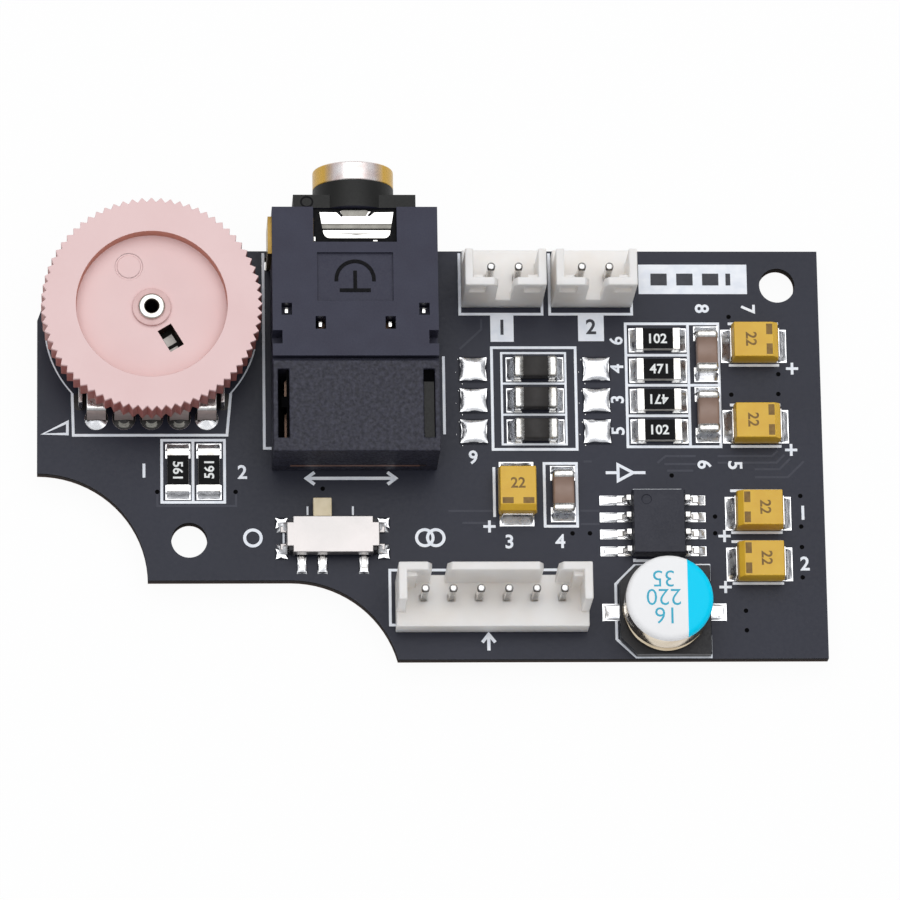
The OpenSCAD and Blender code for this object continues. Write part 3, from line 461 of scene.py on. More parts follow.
@dataclass(frozen=True)
class Finish:
    """A finish with patches of a second tone, and a grain that shows in gloss and relief.

    Sizes are millimetres. The grain is drawn as coarse as it needs to show, and depth is how far
    light spreads under the surface.
    """

    name: str
    slot: str
    base: str
    tone: str
    rough: Pair
    metallic: float = 0.0
    patch: float = 3.0
    grain: float = 0.15
    relief: float = 0.004
    stretch: Triple = (1.0, 1.0, 1.0)
    specular: float = 0.5
    depth: float = 0.0

    def material(self) -> bpy.types.Material:
        """The Blender material, made when it is first asked for."""
        return bpy.data.materials.get(self.name) or self._make()

    def _make(self) -> bpy.types.Material:
        """Builds the node tree, in which the fine noise drives gloss and relief.

        Returns:
            The new material.
        """
        made = bpy.data.materials.new(self.name)
        made.use_nodes = True
        tree = made.node_tree
        where = add(tree, "ShaderNodeTexCoord").outputs["Object"]
        spread = add(tree, "ShaderNodeMapping", {"Vector": where, "Scale": self.stretch}).outputs[0]
        fine = add(tree, "ShaderNodeTexNoise", {
            "Vector": spread, "Scale": 1 / (self.grain * MM), "Detail": 3.0}).outputs["Fac"]
        wide = add(tree, "ShaderNodeTexNoise", {
            "Vector": where, "Scale": 1 / (self.patch * MM), "Detail": 2.0}).outputs["Fac"]
        gloss = add(tree, "ShaderNodeMapRange", {
            "Value": fine, "From Min": 0.3, "From Max": 0.7,
            "To Min": self.rough[0], "To Max": self.rough[1]}).outputs[0]
        bump = add(tree, "ShaderNodeBump", {"Height": fine, "Distance": self.relief * MM}).outputs[0]
        pattern = Pattern(tree, where, wide)
        inputs = {"Base Color": self.colour(pattern), "Metallic": self.metallic, "Roughness": gloss,
                  "Specular IOR Level": self.sheen(pattern), "Normal": bump}
        if self.depth > 0:
            inputs |= {"Subsurface Weight": 0.6, "Subsurface Scale": self.depth * MM,
                       "Subsurface Radius": (1.0, 0.9, 0.8)}
        feed(tree, tree.nodes["Principled BSDF"], inputs)
        return made

    def colour(self, pattern: Pattern) -> Socket:
        """The colour: the base, with the second tone where the wide noise is high.

        Args:
            pattern: What the colour can follow.

        Returns:
            The output that holds it.
        """
        patches = add(pattern.tree, "ShaderNodeMapRange", {
            "Value": pattern.wide, "From Min": 0.35, "From Max": 0.7})
        return pattern.layered(self.base, (patches.outputs[0], self.tone))

    def sheen(self, pattern: Pattern) -> float | Socket:
        """The strength of the mirrored light, which is even here."""
        return self.specular


@dataclass(frozen=True)
class SolderMask(Finish):
    """Black solder mask, sprayed and cured over fibreglass: even semi-gloss on both faces.

    The routed edge is darkest right under the mask, and turns brown at its lower rim.
    """

    edge: str = "#403c3b"
    brown: str = "#5a4437"
    rim: str = "#0c0c0e"
    top: float = 2.2
    thickness: float = 1.0

    def colour(self, pattern: Pattern) -> Socket:
        """The mask's two tones on the faces, and the laminate between them.

        Args:
            pattern: What the colour can follow.

        Returns:
            The output that holds it.
        """
        low = self.top - self.thickness
        brown = pattern.along("Z", low + 0.28, low + 0.12)
        rim = pattern.along("Z", self.top - 0.2, self.top - 0.12)
        laminate = pattern.layered(self.edge, (brown, self.brown), (rim, self.rim))
        return pattern.layered(super().colour(pattern), (self.edge_share(pattern), laminate))

    def edge_share(self, pattern: Pattern) -> Socket:
        """1 between the board's two faces and 0 on them.

        Args:
            pattern: What the share can follow.

        Returns:
            The output that holds it.
        """
        low = self.top - self.thickness
        under = pattern.along("Z", self.top - 0.005, self.top - 0.02)
        over = pattern.along("Z", low + 0.005, low + 0.02)
        return add(pattern.tree, "ShaderNodeMath", {0: under, 1: over}, operation="MULTIPLY").outputs[0]

    def sheen(self, pattern: Pattern) -> float | Socket:
        """The strength of the mirrored light, which the cut edge doesn't have."""
        return add(pattern.tree, "ShaderNodeMapRange", {
            "Value": self.edge_share(pattern), "To Min": self.specular, "To Max": 0.0}).outputs[0]


@dataclass(frozen=True)
class WheelPlastic(Finish):
    """Pink acetal, moulded with teeth: a soft even tone, with painted shade between the teeth.

    The place of the wheel's axis is in metres.
    """

    axis_at: Pair = (0.0, 0.0)
    root_r: float = 7.65
    top: float = 7.8
    shade: str = "#a8635c"

    def colour(self, pattern: Pattern) -> Socket:
        """The plastic, with painted shade where the distance from the axis is in the teeth and below the
        top.

        Args:
            pattern: What the colour can follow.

        Returns:
            The output that holds it.
        """
        tree = pattern.tree
        x, y = self.axis_at
        level = add(tree, "ShaderNodeMapping", {
            "Vector": pattern.where, "Location": (-x, -y, 0), "Scale": (1, 1, 0)})
        far = add(tree, "ShaderNodeVectorMath", {0: level.outputs[0]}, operation="LENGTH").outputs["Value"]
        rim = add(tree, "ShaderNodeMapRange", {
            "Value": far, "From Min": (self.root_r - 0.1) * MM, "From Max": (self.root_r + 0.02) * MM})
        low = pattern.along("Z", self.top - 0.08, self.top - 0.4)
        both = add(tree, "ShaderNodeMath", {0: rim.outputs[0], 1: low}, operation="MULTIPLY").outputs[0]
        return pattern.layered(super().colour(pattern), (both, self.shade))


@dataclass(frozen=True)
class RingPlating(Finish):
    """Nickel over brass, turned: silvery facing up, with a painted gold reflection where it curves away.

    The place of the ring's axis is in metres.
    """

    axis_x: float = 0.0
    silver_half: float = 1.45
    gold_half: float = 2.15
    gold: str = "#cfa441"

    def colour(self, pattern: Pattern) -> Socket:
        """The plating, going over to a painted gold reflection with the distance from the axis along X.

        Args:
            pattern: What the colour can follow.

        Returns:
            The output that holds it.
        """
        tree = pattern.tree
        x = add(tree, "ShaderNodeSeparateXYZ", {"Vector": pattern.where}).outputs["X"]
        off = add(tree, "ShaderNodeMath", {0: x, 1: self.axis_x}, operation="SUBTRACT").outputs[0]
        far = add(tree, "ShaderNodeMath", {0: off}, operation="ABSOLUTE").outputs[0]
        share = add(tree, "ShaderNodeMapRange", {
            "Value": far, "From Min": self.silver_half * MM, "From Max": self.gold_half * MM})
        return pattern.layered(super().colour(pattern), (share.outputs[0], self.gold))


@dataclass(frozen=True)
class CanCoating(Finish):
    """Coated aluminium, drawn into a can: satin white on top with one printed segment."""

    print_from: float = 0.0
    print_colour: str = "#00d8fd"

    def colour(self, pattern: Pattern) -> Socket:
        """White, and the print's colour to the right of print_from."""
        right = pattern.along("X", self.print_from - 0.01, self.print_from + 0.01)
        return pattern.layered(super().colour(pattern), (right, self.print_colour))


# Solder wets copper and freezes bright, with soft dimples where it cooled.
SOLDER = Finish("solder_reflowed_tin", "solder", "#f4f4f5", "#d3d4d7", (0.18, 0.4),
                metallic=1.0, patch=1.2, grain=0.35, relief=0.02)
# Solder-levelled copper is as bright, and smoother.
LAND = Finish("land_levelled_tin", "tinned_land", "#f7f7f7", "#e3e4e6", (0.12, 0.28),
              metallic=1.0, patch=1.5, grain=0.3, relief=0.006)
# Tin over pressed steel keeps fine marks from the press.
TINPLATE = Finish("tinplate_pressed", "tinned_steel", "#dcd6d4", "#d3ccc8", (0.16, 0.34),
                  metallic=1.0, patch=2.5, grain=0.12, relief=0.003, stretch=(1.0, 6.0, 1.0))
# The switch's cover is matte tin, so it mirrors less of the white room.
COVER = Finish("tinplate_matte", "tinned_steel", "#bbb6b4", "#b5b1af", (0.3, 0.42),
               metallic=1.0, patch=2.5, grain=0.12, relief=0.003, stretch=(6.0, 1.0, 1.0))
# Tinned brass legs are cut and bent, dull where they were sheared.
TINNED_BRASS = Finish("brass_tinned_cut", "tinned_brass", "#eceae8", "#c9c6c1", (0.12, 0.3),
                      metallic=1.0, patch=0.8, grain=0.1)
# Bare spring brass in the shade of its slots shows a dull, warm brown.
BRASS = Finish("brass_spring_rolled", "spring_brass", "#6e5a4e", "#58463c", (0.2, 0.42),
               metallic=1.0, patch=1.5, grain=0.1, relief=0.003, stretch=(6.0, 1.0, 1.0))
# Where it comes out at the jack's side, the sleeve contact is brass in the light, and looks golden.
GOLDEN = Finish("brass_spring_bright", "spring_brass", "#8f7440", "#7a6233", (0.2, 0.42),
                metallic=1.0, patch=1.5, grain=0.1, relief=0.003, stretch=(6.0, 1.0, 1.0))
# The collar round the jack's bore is the housing's nylon, polished darker by the mould.
# The same dark also serves as painted shade on the sheet in the cap's right slot.
COLLAR_AND_SLOT_SHADE = Finish("nylon_black_polished_and_slot_shade", "jack_plastic", "#1e1e1d", "#232321", (0.4, 0.6),
                patch=2.0, grain=0.1, specular=0.25)
# The rounded shoulders of pins and the inside of the rivet mirror the dark around them.
PIN_SHADE = Finish("pin_shoulder_shaded", "tinned_brass", "#4a443d", "#332e29", (0.25, 0.4),
                   metallic=0.8, patch=0.4, grain=0.1)
# The leads turn down and away from the light, so their fronts look grey.
LEAD_SHADE = Finish("lead_front_shaded", "tinned_brass", "#b3a19c", "#a1918c", (0.4, 0.55),
                    patch=0.8, grain=0.1)
# The walls of the wheel's slot get almost no light, so the plastic looks dark brown.
SLOT_SHADE = Finish("wheel_slot_shaded", "wheel_plastic", "#33211f", "#271816", (0.5, 0.7),
                    patch=1.0, grain=0.2, relief=0.002, specular=0.05)
# The wiper is a silvery sprung strip, softly lit in the slot.
BLADE = Finish("wiper_blade_sprung", "spring_brass", "#c3bcb6", "#a9a29b", (0.3, 0.45),
               metallic=0.3, patch=0.5, grain=0.1)
# The upright wall of the wheel's dish is lit by its own pink, which warms its shade.
DISH_WALL = Finish("dish_wall_shaded", "wheel_plastic", "#cf8f7d", "#c78673", (0.45, 0.6),
                   grain=0.25, relief=0.002, specular=0.2)
# The rest of the wiper is the same spring in the dark under the wheel.
DARK_SPRING = Finish("spring_shaded", "spring_brass", "#1c1815", "#12100e", (0.4, 0.6),
                     metallic=0.3, patch=0.6, grain=0.1, relief=0.003, specular=0.1)
# The spring's tail behind the jack is unplated, with a coppery sheen.
TAIL = Finish("spring_tail_copper", "spring_brass", "#9d7465", "#8c6657", (0.35, 0.5),
              metallic=0.2, patch=1.0, grain=0.1, relief=0.002)
# Solder mask creeps over the edge of a land, and is thinner and paler there.
CREEP = Finish("mask_over_land_edge", "solder_mask", "#1d1e27", "#22242e", (0.4, 0.5),
               patch=1.0, grain=0.3, relief=0.001, specular=0.15)
# Solder in the shade of the wheel looks dull and dark.
SHADED_SOLDER = Finish("solder_shaded_dull", "solder", "#3c3a38", "#2f2d2c", (0.3, 0.45),
                       metallic=0.6, patch=0.6, grain=0.2, relief=0.01)
# The rivet is nickel-plated and rolled over, so it gleams in a ring.
EYELET = Finish("eyelet_nickel_rolled", "rivet_metal", "#eeece6", "#cdc8bd", (0.12, 0.28),
                metallic=1.0, patch=0.8, grain=0.12)
# Black glass-filled nylon has a rough moulded face with a bluish sheen.
JACK = Finish("nylon_black_moulded", "jack_plastic", "#303041", "#343546", (0.42, 0.62),
              patch=2.0, grain=0.1, relief=0.005, specular=0.3)
# The rear cap is the same nylon with a coarser grain, so it glitters.
CAP = Finish("nylon_black_grained", "jack_plastic", "#24242e", "#3a3a47", (0.4, 0.66),
             patch=0.3, grain=0.16, relief=0.03, specular=0.3)
# The sunk sign and the window's room lie in the shade, and look plain black.
SIGN = Finish("nylon_black_shaded", "jack_plastic", "#0c0c0f", "#101013", (0.5, 0.7),
              patch=2.0, grain=0.2, relief=0.002, specular=0.1)
# The deepest gaps of the jack's slots send back no light at all.
GLOOM = Finish("nylon_black_unlit", "jack_plastic", "#030304", "#040405", (0.6, 0.8),
               patch=2.0, grain=0.2, relief=0.001, specular=0.02)
# The folded strip in the jack's window is silvery and smooth, and nearly mirrors the room.
# It also makes the painted glints where the springs catch the light.
CONTACT = Finish("contact_silver_rolled", "spring_brass", "#f6f5f2", "#e6e2da", (0.1, 0.24),
                 metallic=1.0, patch=1.0, grain=0.2)
# The strip's folds turn from the light, so they are painted grey, as shade, with fine streaks.
# The same grey makes the painted gleam on the solder in the wheel's shade.
FOLD = Finish("contact_fold_shaded", "spring_brass", "#8c8a82", "#75726b", (0.2, 0.35),
              metallic=0.6, patch=1.0, grain=0.1, stretch=(0.3, 5.0, 1.0))
# Natural nylon lets a little light in, so its shadows are soft and warm.
NYLON = Finish("nylon_natural_moulded", "header_nylon", "#f6f1ec", "#f0e9e2", (0.3, 0.45),
               patch=2.5, grain=0.2, relief=0.003, depth=2.0)
# Black moulded plastic is smooth, with a soft sheen on its edges.
BLACK = Finish("plastic_black_moulded", "black_plastic", "#1c1c20", "#232327", (0.35, 0.55),
               patch=1.5, grain=0.12, specular=0.35)
# The lever is beige plastic, dull from handling.
LEVER = Finish("plastic_beige_moulded", "lever_plastic", "#e4d5b6", "#d7c7a3", (0.4, 0.55),
               patch=0.8, grain=0.1, relief=0.003)
# The chip's epoxy is filled with silica, so it is dark grey and matte.
EPOXY = Finish("epoxy_chip_moulded", "chip_epoxy", "#2b2c36", "#30313b", (0.45, 0.62),
               patch=1.5, grain=0.1, relief=0.005, specular=0.3)
# The resistors' glaze is black and dull under the overhead light.
GLAZE = Finish("glaze_black_fired", "resistor_glaze", "#08080a", "#0d0d0f", (0.3, 0.45),
               patch=0.9, grain=0.2, relief=0.003, specular=0.08)
# Sintered alumina, the resistors' base, is white and chalky at the sides.
ALUMINA = Finish("alumina_sintered", "resistor_glaze", "#d9d6d0", "#bfbab2", (0.4, 0.6),
                 patch=0.6, grain=0.1, relief=0.003)
# Pressed ferrite is dark grey, with a grain that scatters what light it gets.
FERRITE = Finish("ferrite_pressed", "ferrite", "#3a3837", "#403e3d", (0.45, 0.65),
                 patch=0.9, grain=0.12, relief=0.008, specular=0.15)
# The capacitors' sintered ceramic is brown, with an even, waxy sheen.
CERAMIC = Finish("ceramic_brown_sintered", "brown_ceramic", "#8d7466", "#967d70", (0.35, 0.55),
                 patch=0.9, grain=0.12, relief=0.003)
# The dipped end caps are tin with uneven edges, bright with soft dents.
CAP_TIN = Finish("end_cap_tin_dipped", "brown_ceramic", "#f0efec", "#bdb9b2", (0.14, 0.34),
                 metallic=1.0, patch=0.5, grain=0.16, relief=0.01)
# The capacitors' yellow epoxy is smooth, with a satin sheen.
YELLOW = Finish("epoxy_yellow_moulded", "yellow_epoxy", "#ddb132", "#d8a92c", (0.34, 0.5),
                patch=1.2, grain=0.1)
# The board's ink is screened on thickly: a bluish white, and matte.
PRINT = Finish("board_ink_screened", "solder_mask", "#f6f9fe", "#e9eef6", (0.5, 0.7), patch=0.7, grain=0.1)
# The numbers on the filled labels are left open, so the mask's black shows.
DARK_INK = Finish("dark_ink_screened", "solder_mask", "#22242e", "#2c2e38", (0.4, 0.6),
                  patch=0.8, grain=0.1, relief=0.003)
# A laser burns the capacitors' marks, which leaves a rough brown.
BURNT = Finish("mark_laser_burnt", "yellow_epoxy", "#8a6a2c", "#735623", (0.5, 0.7), patch=0.4, grain=0.1)
# The resistors' numbers are printed in thin pale ink.
PALE_INK = Finish("pale_ink_printed", "resistor_glaze", "#f2f4f2", "#e2e5e3", (0.4, 0.6),
                  patch=0.4, grain=0.1, relief=0.002)
# The can's numbers are printed in a blue like its segment's.
BLUE_INK = Finish("blue_ink_printed", "can_aluminium", "#10a5c4", "#1fb0cc", (0.35, 0.5),
                  patch=0.7, grain=0.1, relief=0.002)
# The can's bare side is drawn bright, and its warm tint is a painted reflection of the parts around it.
CAN_SIDE = Finish("aluminium_bare_drawn", "can_aluminium", "#d8cbb4", "#c4b296", (0.1, 0.22),
                  metallic=1.0, patch=2.0, grain=0.2, relief=0.002, stretch=(1.0, 1.0, 0.2))
# Mask over a track stands up a little, and catches the light along it.
HIDDEN_COPPER = Finish("mask_over_track", "solder_mask", "#2e303d", "#333542", (0.26, 0.4),
                       patch=2.0, grain=0.3, relief=0.002, specular=0.3)
# The mask sinks into a plated hole, whose dimple is painted black as the shade in it.
HOLE = Finish("via_mask_sunk", "solder_mask", "#030304", "#060607", (0.6, 0.8),
              patch=1.0, grain=0.2, relief=0.002, specular=0.05)
# The wafer is pressed from brown phenolic paper, and is dull.
WAFER = Finish("phenolic_paper_pressed", "phenolic_wafer", "#7a4d30", "#633c24", (0.4, 0.6), patch=1.5)
# The washer is moulded in a paler pink than the wheel, with a soft sheen.
WASHER = Finish("washer_pink_moulded", "washer_plastic", "#e3bfbc", "#d8b1ae", (0.4, 0.55),
                patch=1.0, relief=0.003)


# Workshop


def linked(name: str, data: bpy.types.ID) -> bpy.types.Object:
    """Makes an object of a mesh, a lamp or a camera, and links it to the scene.

    Args:
        name: The object's name.
        data: What it shows.

    Returns:
        The new object, at the origin.
    """
    made = bpy.data.objects.new(name, data)
    bpy.context.scene.collection.objects.link(made)
    return made


@dataclass
class Workshop:
    """What every sub-assembly needs: the board's frame and the CAD nodes."""

    board: BoardFrame
    nodes: dict[str, bpy.types.Object]
    made: list[str] = field(default_factory=list)

    def piece(self, name: str, shape: Shape, finish: Finish, body: Body = Body.BOARD,
              replaces: Sequence[str] = (), closed: bool = False, smooth: bool = True) -> bpy.types.Object:
        """Makes a piece of the scene from a shape.

        Args:
            name: The piece's name.
            shape: Its points in the board's frame.
            finish: Its finish.
            body: The body that it rides on.
            replaces: The CAD nodes that it stands for.
            closed: Whether it is a closed skin, so that its faces can be turned outwards.
            smooth: Whether its faces are shaded smooth.

        Returns:
            The new object, at the origin.
        """
        mesh = bpy.data.meshes.new(name)
        mesh.from_pydata(self.board.to_row(shape.points), [], shape.faces)
        work = bmesh.new()
        work.from_mesh(mesh)
        bmesh.ops.remove_doubles(work, verts=work.verts, dist=0.0005 * MM)
        if closed:
            bmesh.ops.recalc_face_normals(work, faces=work.faces)
        work.to_mesh(mesh)
        work.free()
        mesh.polygons.foreach_set("use_smooth", [smooth] * len(mesh.polygons))
        return self._dress(linked(name, mesh), finish, body, replaces)

    def softened(self, node: str, edge: float, finish: Finish, body: Body = Body.BOARD,
                 segments: int = 2, clamp: bool = True) -> bpy.types.Object:
        """Copies a CAD node, merges its faces and rounds its edges.

        Args:
            node: The CAD node, which the copy replaces.
            edge: Radius of the rounded edges.
            finish: The copy's finish.
            body: The body that it rides on.
            segments: Steps across a rounded edge.
            clamp: Whether short edges may hold the rounding back.

        Returns:
            The new object, at the origin.
        """
        mesh = self.nodes[node].data.copy()
        mesh.name = node + "_soft"
        work = bmesh.new()
        work.from_mesh(mesh)
        bmesh.ops.remove_doubles(work, verts=work.verts, dist=0.001 * MM)
        bmesh.ops.dissolve_limit(work, angle_limit=math.radians(2), verts=work.verts, edges=work.edges)
        work.to_mesh(mesh)
        work.free()
        if "custom_normal" in mesh.attributes:
            mesh.attributes.remove(mesh.attributes["custom_normal"])
        mesh.materials.clear()
        mesh.polygons.foreach_set("use_smooth", [True] * len(mesh.polygons))
        made = linked(node + "_soft", mesh)
        rounding = made.modifiers.new("rounded_edges", "BEVEL")
        rounding.width = edge * MM
        rounding.segments = segments
        rounding.limit_method = "ANGLE"
        rounding.angle_limit = math.radians(32)
        rounding.harden_normals = True
        rounding.use_clamp_overlap = clamp
        return self._dress(made, finish, body, (node,))

    def _dress(self, made: bpy.types.Object, finish: Finish, body: Body,
               replaces: Sequence[str]) -> bpy.types.Object:
        """Gives a piece its finish, its body and the nodes that it stands for.

        Args:
            made: The piece.
            finish: Its finish.
            body: The body that it rides on.
            replaces: The CAD nodes that it stands for.

        Returns:
            The same piece.
        """
        made.data.materials.append(finish.material())
        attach(made, body.value)
        if replaces:
            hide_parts(*replaces)
        self.made.append(made.name)
        log.info("%s: %s on %s", made.name, finish.name, body.value)
        return made

    def dress_node(self, node: str, finish: Finish) -> None:
        """Gives a CAD node that stays as it is its finish.

        Args:
            node: The CAD node.
            finish: Its finish.
        """
        mesh = self.nodes[node].data
        mesh.materials.clear()
        mesh.materials.append(finish.material())
        log.info("%s: %s", node, finish.name)

    def paint(self, piece: bpy.types.Object, finish: Finish, choose: Chooser) -> None:
        """Gives some faces of a piece a second finish.

        Args:
            piece: The object.
            finish: The finish for the chosen faces.
            choose: Takes the middles in the board's frame and the normals, and says which faces.
        """
        mesh = piece.data
        middles = (values_of(mesh.polygons, "center") - self.board.origin) / MM
        chosen = choose(middles, values_of(mesh.polygons, "normal"))
        index = np.zeros(len(mesh.polygons), np.int32)
        mesh.polygons.foreach_get("material_index", index)
        mesh.materials.append(finish.material())
        index[chosen] = len(mesh.materials) - 1
        mesh.polygons.foreach_set("material_index", index)


@dataclass
class SubAssembly:
    """A group of pieces that belong together."""

    shop: Workshop

    @property
    def board(self) -> BoardFrame:
        """The board's own frame."""
        return self.shop.board

    def build(self) -> None:
        """Makes the group's pieces."""
        raise NotImplementedError


# Board, print and solder


@dataclass
class CircuitBoard(SubAssembly):
    """The bare board: laminate, mask, plated holes, and the few tracks that show as faint lines."""

    lift: float = 0.012
    via_r: float = 0.17
    vias: tuple[Pair, ...] = (
        (21.98, 10.35), (25.52, 5.99), (22.03, 4.44), (25.48, 4.49), (10.19, -5.99), (11.46, -5.99),
        (17.51, -1.66), (20.6, -4.75), (20.58, -6.0), (26.87, -3.21), (26.87, -5.51), (26.88, -7.05),
        (26.87, -9.31), (22.67, -11.79), (22.7, -13.24), (-7.91, -2.62), (-19.9, -2.84), (-14.23, -2.85))
    track_w: float = 0.16
    tracks: tuple[tuple[Pair, ...], ...] = (
        ((1.2, -4.3), (4.6, -4.3)), ((2.2, -5.2), (4.6, -5.2)), ((10.8, -4.3), (12.2, -4.3)),
        ((10.8, -5.3), (12.2, -5.3)), ((11.1, -0.6), (11.7, -0.6)), ((17.2, -1.3), (19.1, -1.3)),
        ((20.9, -0.7), (25.2, -0.7), (25.8, -0.1)), ((20.9, -0.2), (24.9, -0.2), (25.3, 0.2)),
        ((23.6, -1.2), (25.4, -1.2), (26.2, -0.4)), ((23.6, -1.8), (26.0, -1.8), (27.2, -0.6)),
        ((16.5, -0.7), (17.1, -0.2), (19.3, -0.2)), ((17.0, -0.8), (19.3, -0.8)),
        ((-19.9, -2.84), (-19.9, -3.9), (-14.2, -3.9), (-14.2, -2.85)),
        ((2.2, 7.9), (3.8, 9.4), (3.8, 10.2)))

    def build(self) -> None:
        """Dresses the board and adds what shows through its mask."""
        low, high = self.board.node_box("circuit_board")
        mask = SolderMask(
            "solder_mask_black_cured", "solder_mask", "#242632", "#282a37", (0.3, 0.42),
            patch=9.0, grain=0.25, relief=0.0012, specular=0.24,
            top=self.board.origin[2] / MM, thickness=high[2] - low[2])
        self.shop.dress_node("circuit_board", mask)
        self.shop.dress_node("tinned_lands", LAND)
        dots = joined([disc(self.via_r, 12).moved(x, y, self.lift) for x, y in self.vias])
        self.shop.piece("via_holes", dots, HOLE)
        lines = joined([ribbon(track, self.track_w) for track in self.tracks])
        self.shop.piece("hidden_tracks", lines.moved(0, 0, self.lift / 2), HIDDEN_COPPER)


@dataclass
class BoardPrint(SubAssembly):
    """The screened print: frames round the parts, plus marks, and plain numbers and signs.

    A wedge stands for volume, one ring and two rings for the switch's ends, an arrow for the
    input and a triangle for the amplifier.
    """

    line: float = 0.2
    lift: float = 0.02
    number_h: float = 1.05
    wheel_arc_r: float = 7.75
    dash_x: tuple[Pair, ...] = ((21.9, 25.6), (21.75, 25.5))
    dash_y: tuple[tuple[float, ...], ...] = ((9.82, 6.66, 3.65, 0.52), (-2.82, -5.96, -6.64, -9.76))
    plus_half: float = 0.45
    plus_at: tuple[Pair, ...] = ((4.16, -5.47), (26.54, 6.41), (26.3, 0.25), (21.25, -6.22), (21.23, -10.03))
    ring_r: float = 0.6
    ring_y: float = -6.3
    ring_x: tuple[float, ...] = (-13.0, -0.55, 0.25)
    label_corners: tuple[Corners, ...] = (
        (4.47, 8.45, 6.17, 10.5), (10.9, 8.5, 12.79, 10.5), (15.41, 12.09, 23.39, 14.34))
    label_numbers: tuple[tuple[str, float, float], ...] = (("1", 5.32, 9.55), ("2", 11.85, 9.6))
    label_number_h: float = 1.15
    label_bar: Corners = (16.3, 12.75, 17.5, 13.65)
    label_bar_step: float = 1.9
    label_stroke_x: float = 22.0
    label_stroke_w: float = 0.35

    def build(self) -> None:
        """Makes the pale print, and the dark numbers and bars on its filled labels."""
        pale = stacked(self.frames() + self.labels() + self.signs() + self.numbers())
        self.shop.piece("board_print", pale.moved(0, 0, self.lift), PRINT, smooth=False)
        x0, y0, x1, y1 = self.label_bar
        dark = [lettering(body, self.label_number_h).moved(x, y) for body, x, y in self.label_numbers]
        dark += [panel(x0, y0, x1, y1).moved(self.label_bar_step * i, 0) for i in range(3)]
        dark.append(ribbon([(self.label_stroke_x, y0), (self.label_stroke_x, y1)], self.label_stroke_w))
        self.shop.piece("label_print", joined(dark).moved(0, 0, self.lift + 0.02), DARK_INK, smooth=False)

    def stroke(self, *path: Pair, share: float = 1.0, closed: bool = False) -> Shape:
        """A printed line along a path, whose width is a share of the usual one."""
        return ribbon(path, self.line * share, closed)

    def box(self, x0: float, y0: float, x1: float, y1: float, share: float = 1.0) -> Shape:
        """A rectangular printed line between two corners."""
        return self.stroke((x0, y0), (x1, y0), (x1, y1), (x0, y1), share=share, closed=True)

    def frames(self) -> list[Shape]:
        """The lines round the parts.

        Returns:
            The lines in the order in which they are stacked, the lowest first.
        """
        stroke, box = self.stroke, self.box
        x, y, _ = self.board.node_middle("pot_rivet")
        left = [(x + dx, y + dy) for dx, dy in arc(self.wheel_arc_r, 222, 188, 12)]
        right = [(x + dx, y + dy) for dx, dy in arc(self.wheel_arc_r, -42, -14, 12)]
        lines = [
            # The wheel's arcs, and the line between their front ends.
            stroke(*left, share=0.55), stroke(*right, share=0.55),
            stroke(left[0], (-25.97, 1.4), (-14.83, 1.4), right[0]),
            # Resistors 1 and 2.
            box(-19.57, 1.02, -15.02, -3.63), stroke((-17.31, 1.02), (-17.31, -3.63)),
            # The jack's left and right side.
            stroke((-12.12, 15.2), (-12.12, 0.41), (-11.2, 0.41)), stroke((1.0, 7.35), (1.0, 1.45)),
            # The left and right header.
            stroke((2.25, 15.2), (2.25, 10.55), (8.28, 10.55), (8.28, 15.2)),
            stroke((8.84, 15.2), (8.84, 10.55), (14.86, 10.55), (14.86, 15.2)),
            # The three beads, with a thinner line inside that parts them.
            box(4.52, 0.31, 10.65, 8.0), box(5.23, 0.69, 9.9, 7.59, 0.8),
            stroke((5.23, 5.28), (9.9, 5.28), share=0.8), stroke((5.23, 2.93), (9.9, 2.93), share=0.8),
            # Resistors 3 to 6, and ceramic capacitors 6 and 8.
            box(14.37, 0.5, 21.17, 9.82), stroke((18.94, 0.5), (18.94, 9.82)),
            stroke((14.37, 7.43), (18.94, 7.43)), stroke((14.37, 5.15), (21.17, 5.15)),
            stroke((14.37, 2.84), (18.94, 2.84)),
            # Ceramic capacitor 4 and moulded capacitor 3.
            box(8.21, -5.46, 10.57, -0.75), stroke((4.55, -1.02), (4.55, -4.76)),
            # The chip's two ends.
            stroke((14.66, -7.9), (14.66, -8.05), (18.0, -8.05)), stroke((14.66, -2.78), (18.2, -2.78)),
            # The can, with two cut corners.
            stroke((20.05, -9.6), (20.05, -8.4), (14.64, -8.4), (13.24, -9.8), (13.24, -13.89),
                   (14.64, -15.22), (20.05, -15.22), (20.05, -13.6)),
            # The input header's left end and back.
            stroke((-2.6, -12.8), (-3.12, -12.8), (-3.12, -8.72), (11.3, -8.72)),
            # Short marks at the switch.
            stroke((-9.03, -3.95), (-9.03, -4.6), share=0.7),
            stroke((-5.74, -3.95), (-5.74, -4.6), share=0.7),
            stroke((-10.78, -5.68), (-10.78, -6.83), share=0.7),
        ]
        # The sides of the moulded capacitors at the right.
        for (x0, x1), rows in zip(self.dash_x, self.dash_y):
            lines += [stroke((x0, row), (x1, row)) for row in rows]
        return lines

    def labels(self) -> list[Shape]:
        """The filled labels in front of the left and right header, and beside the right one."""
        return [panel(*corners) for corners in self.label_corners]

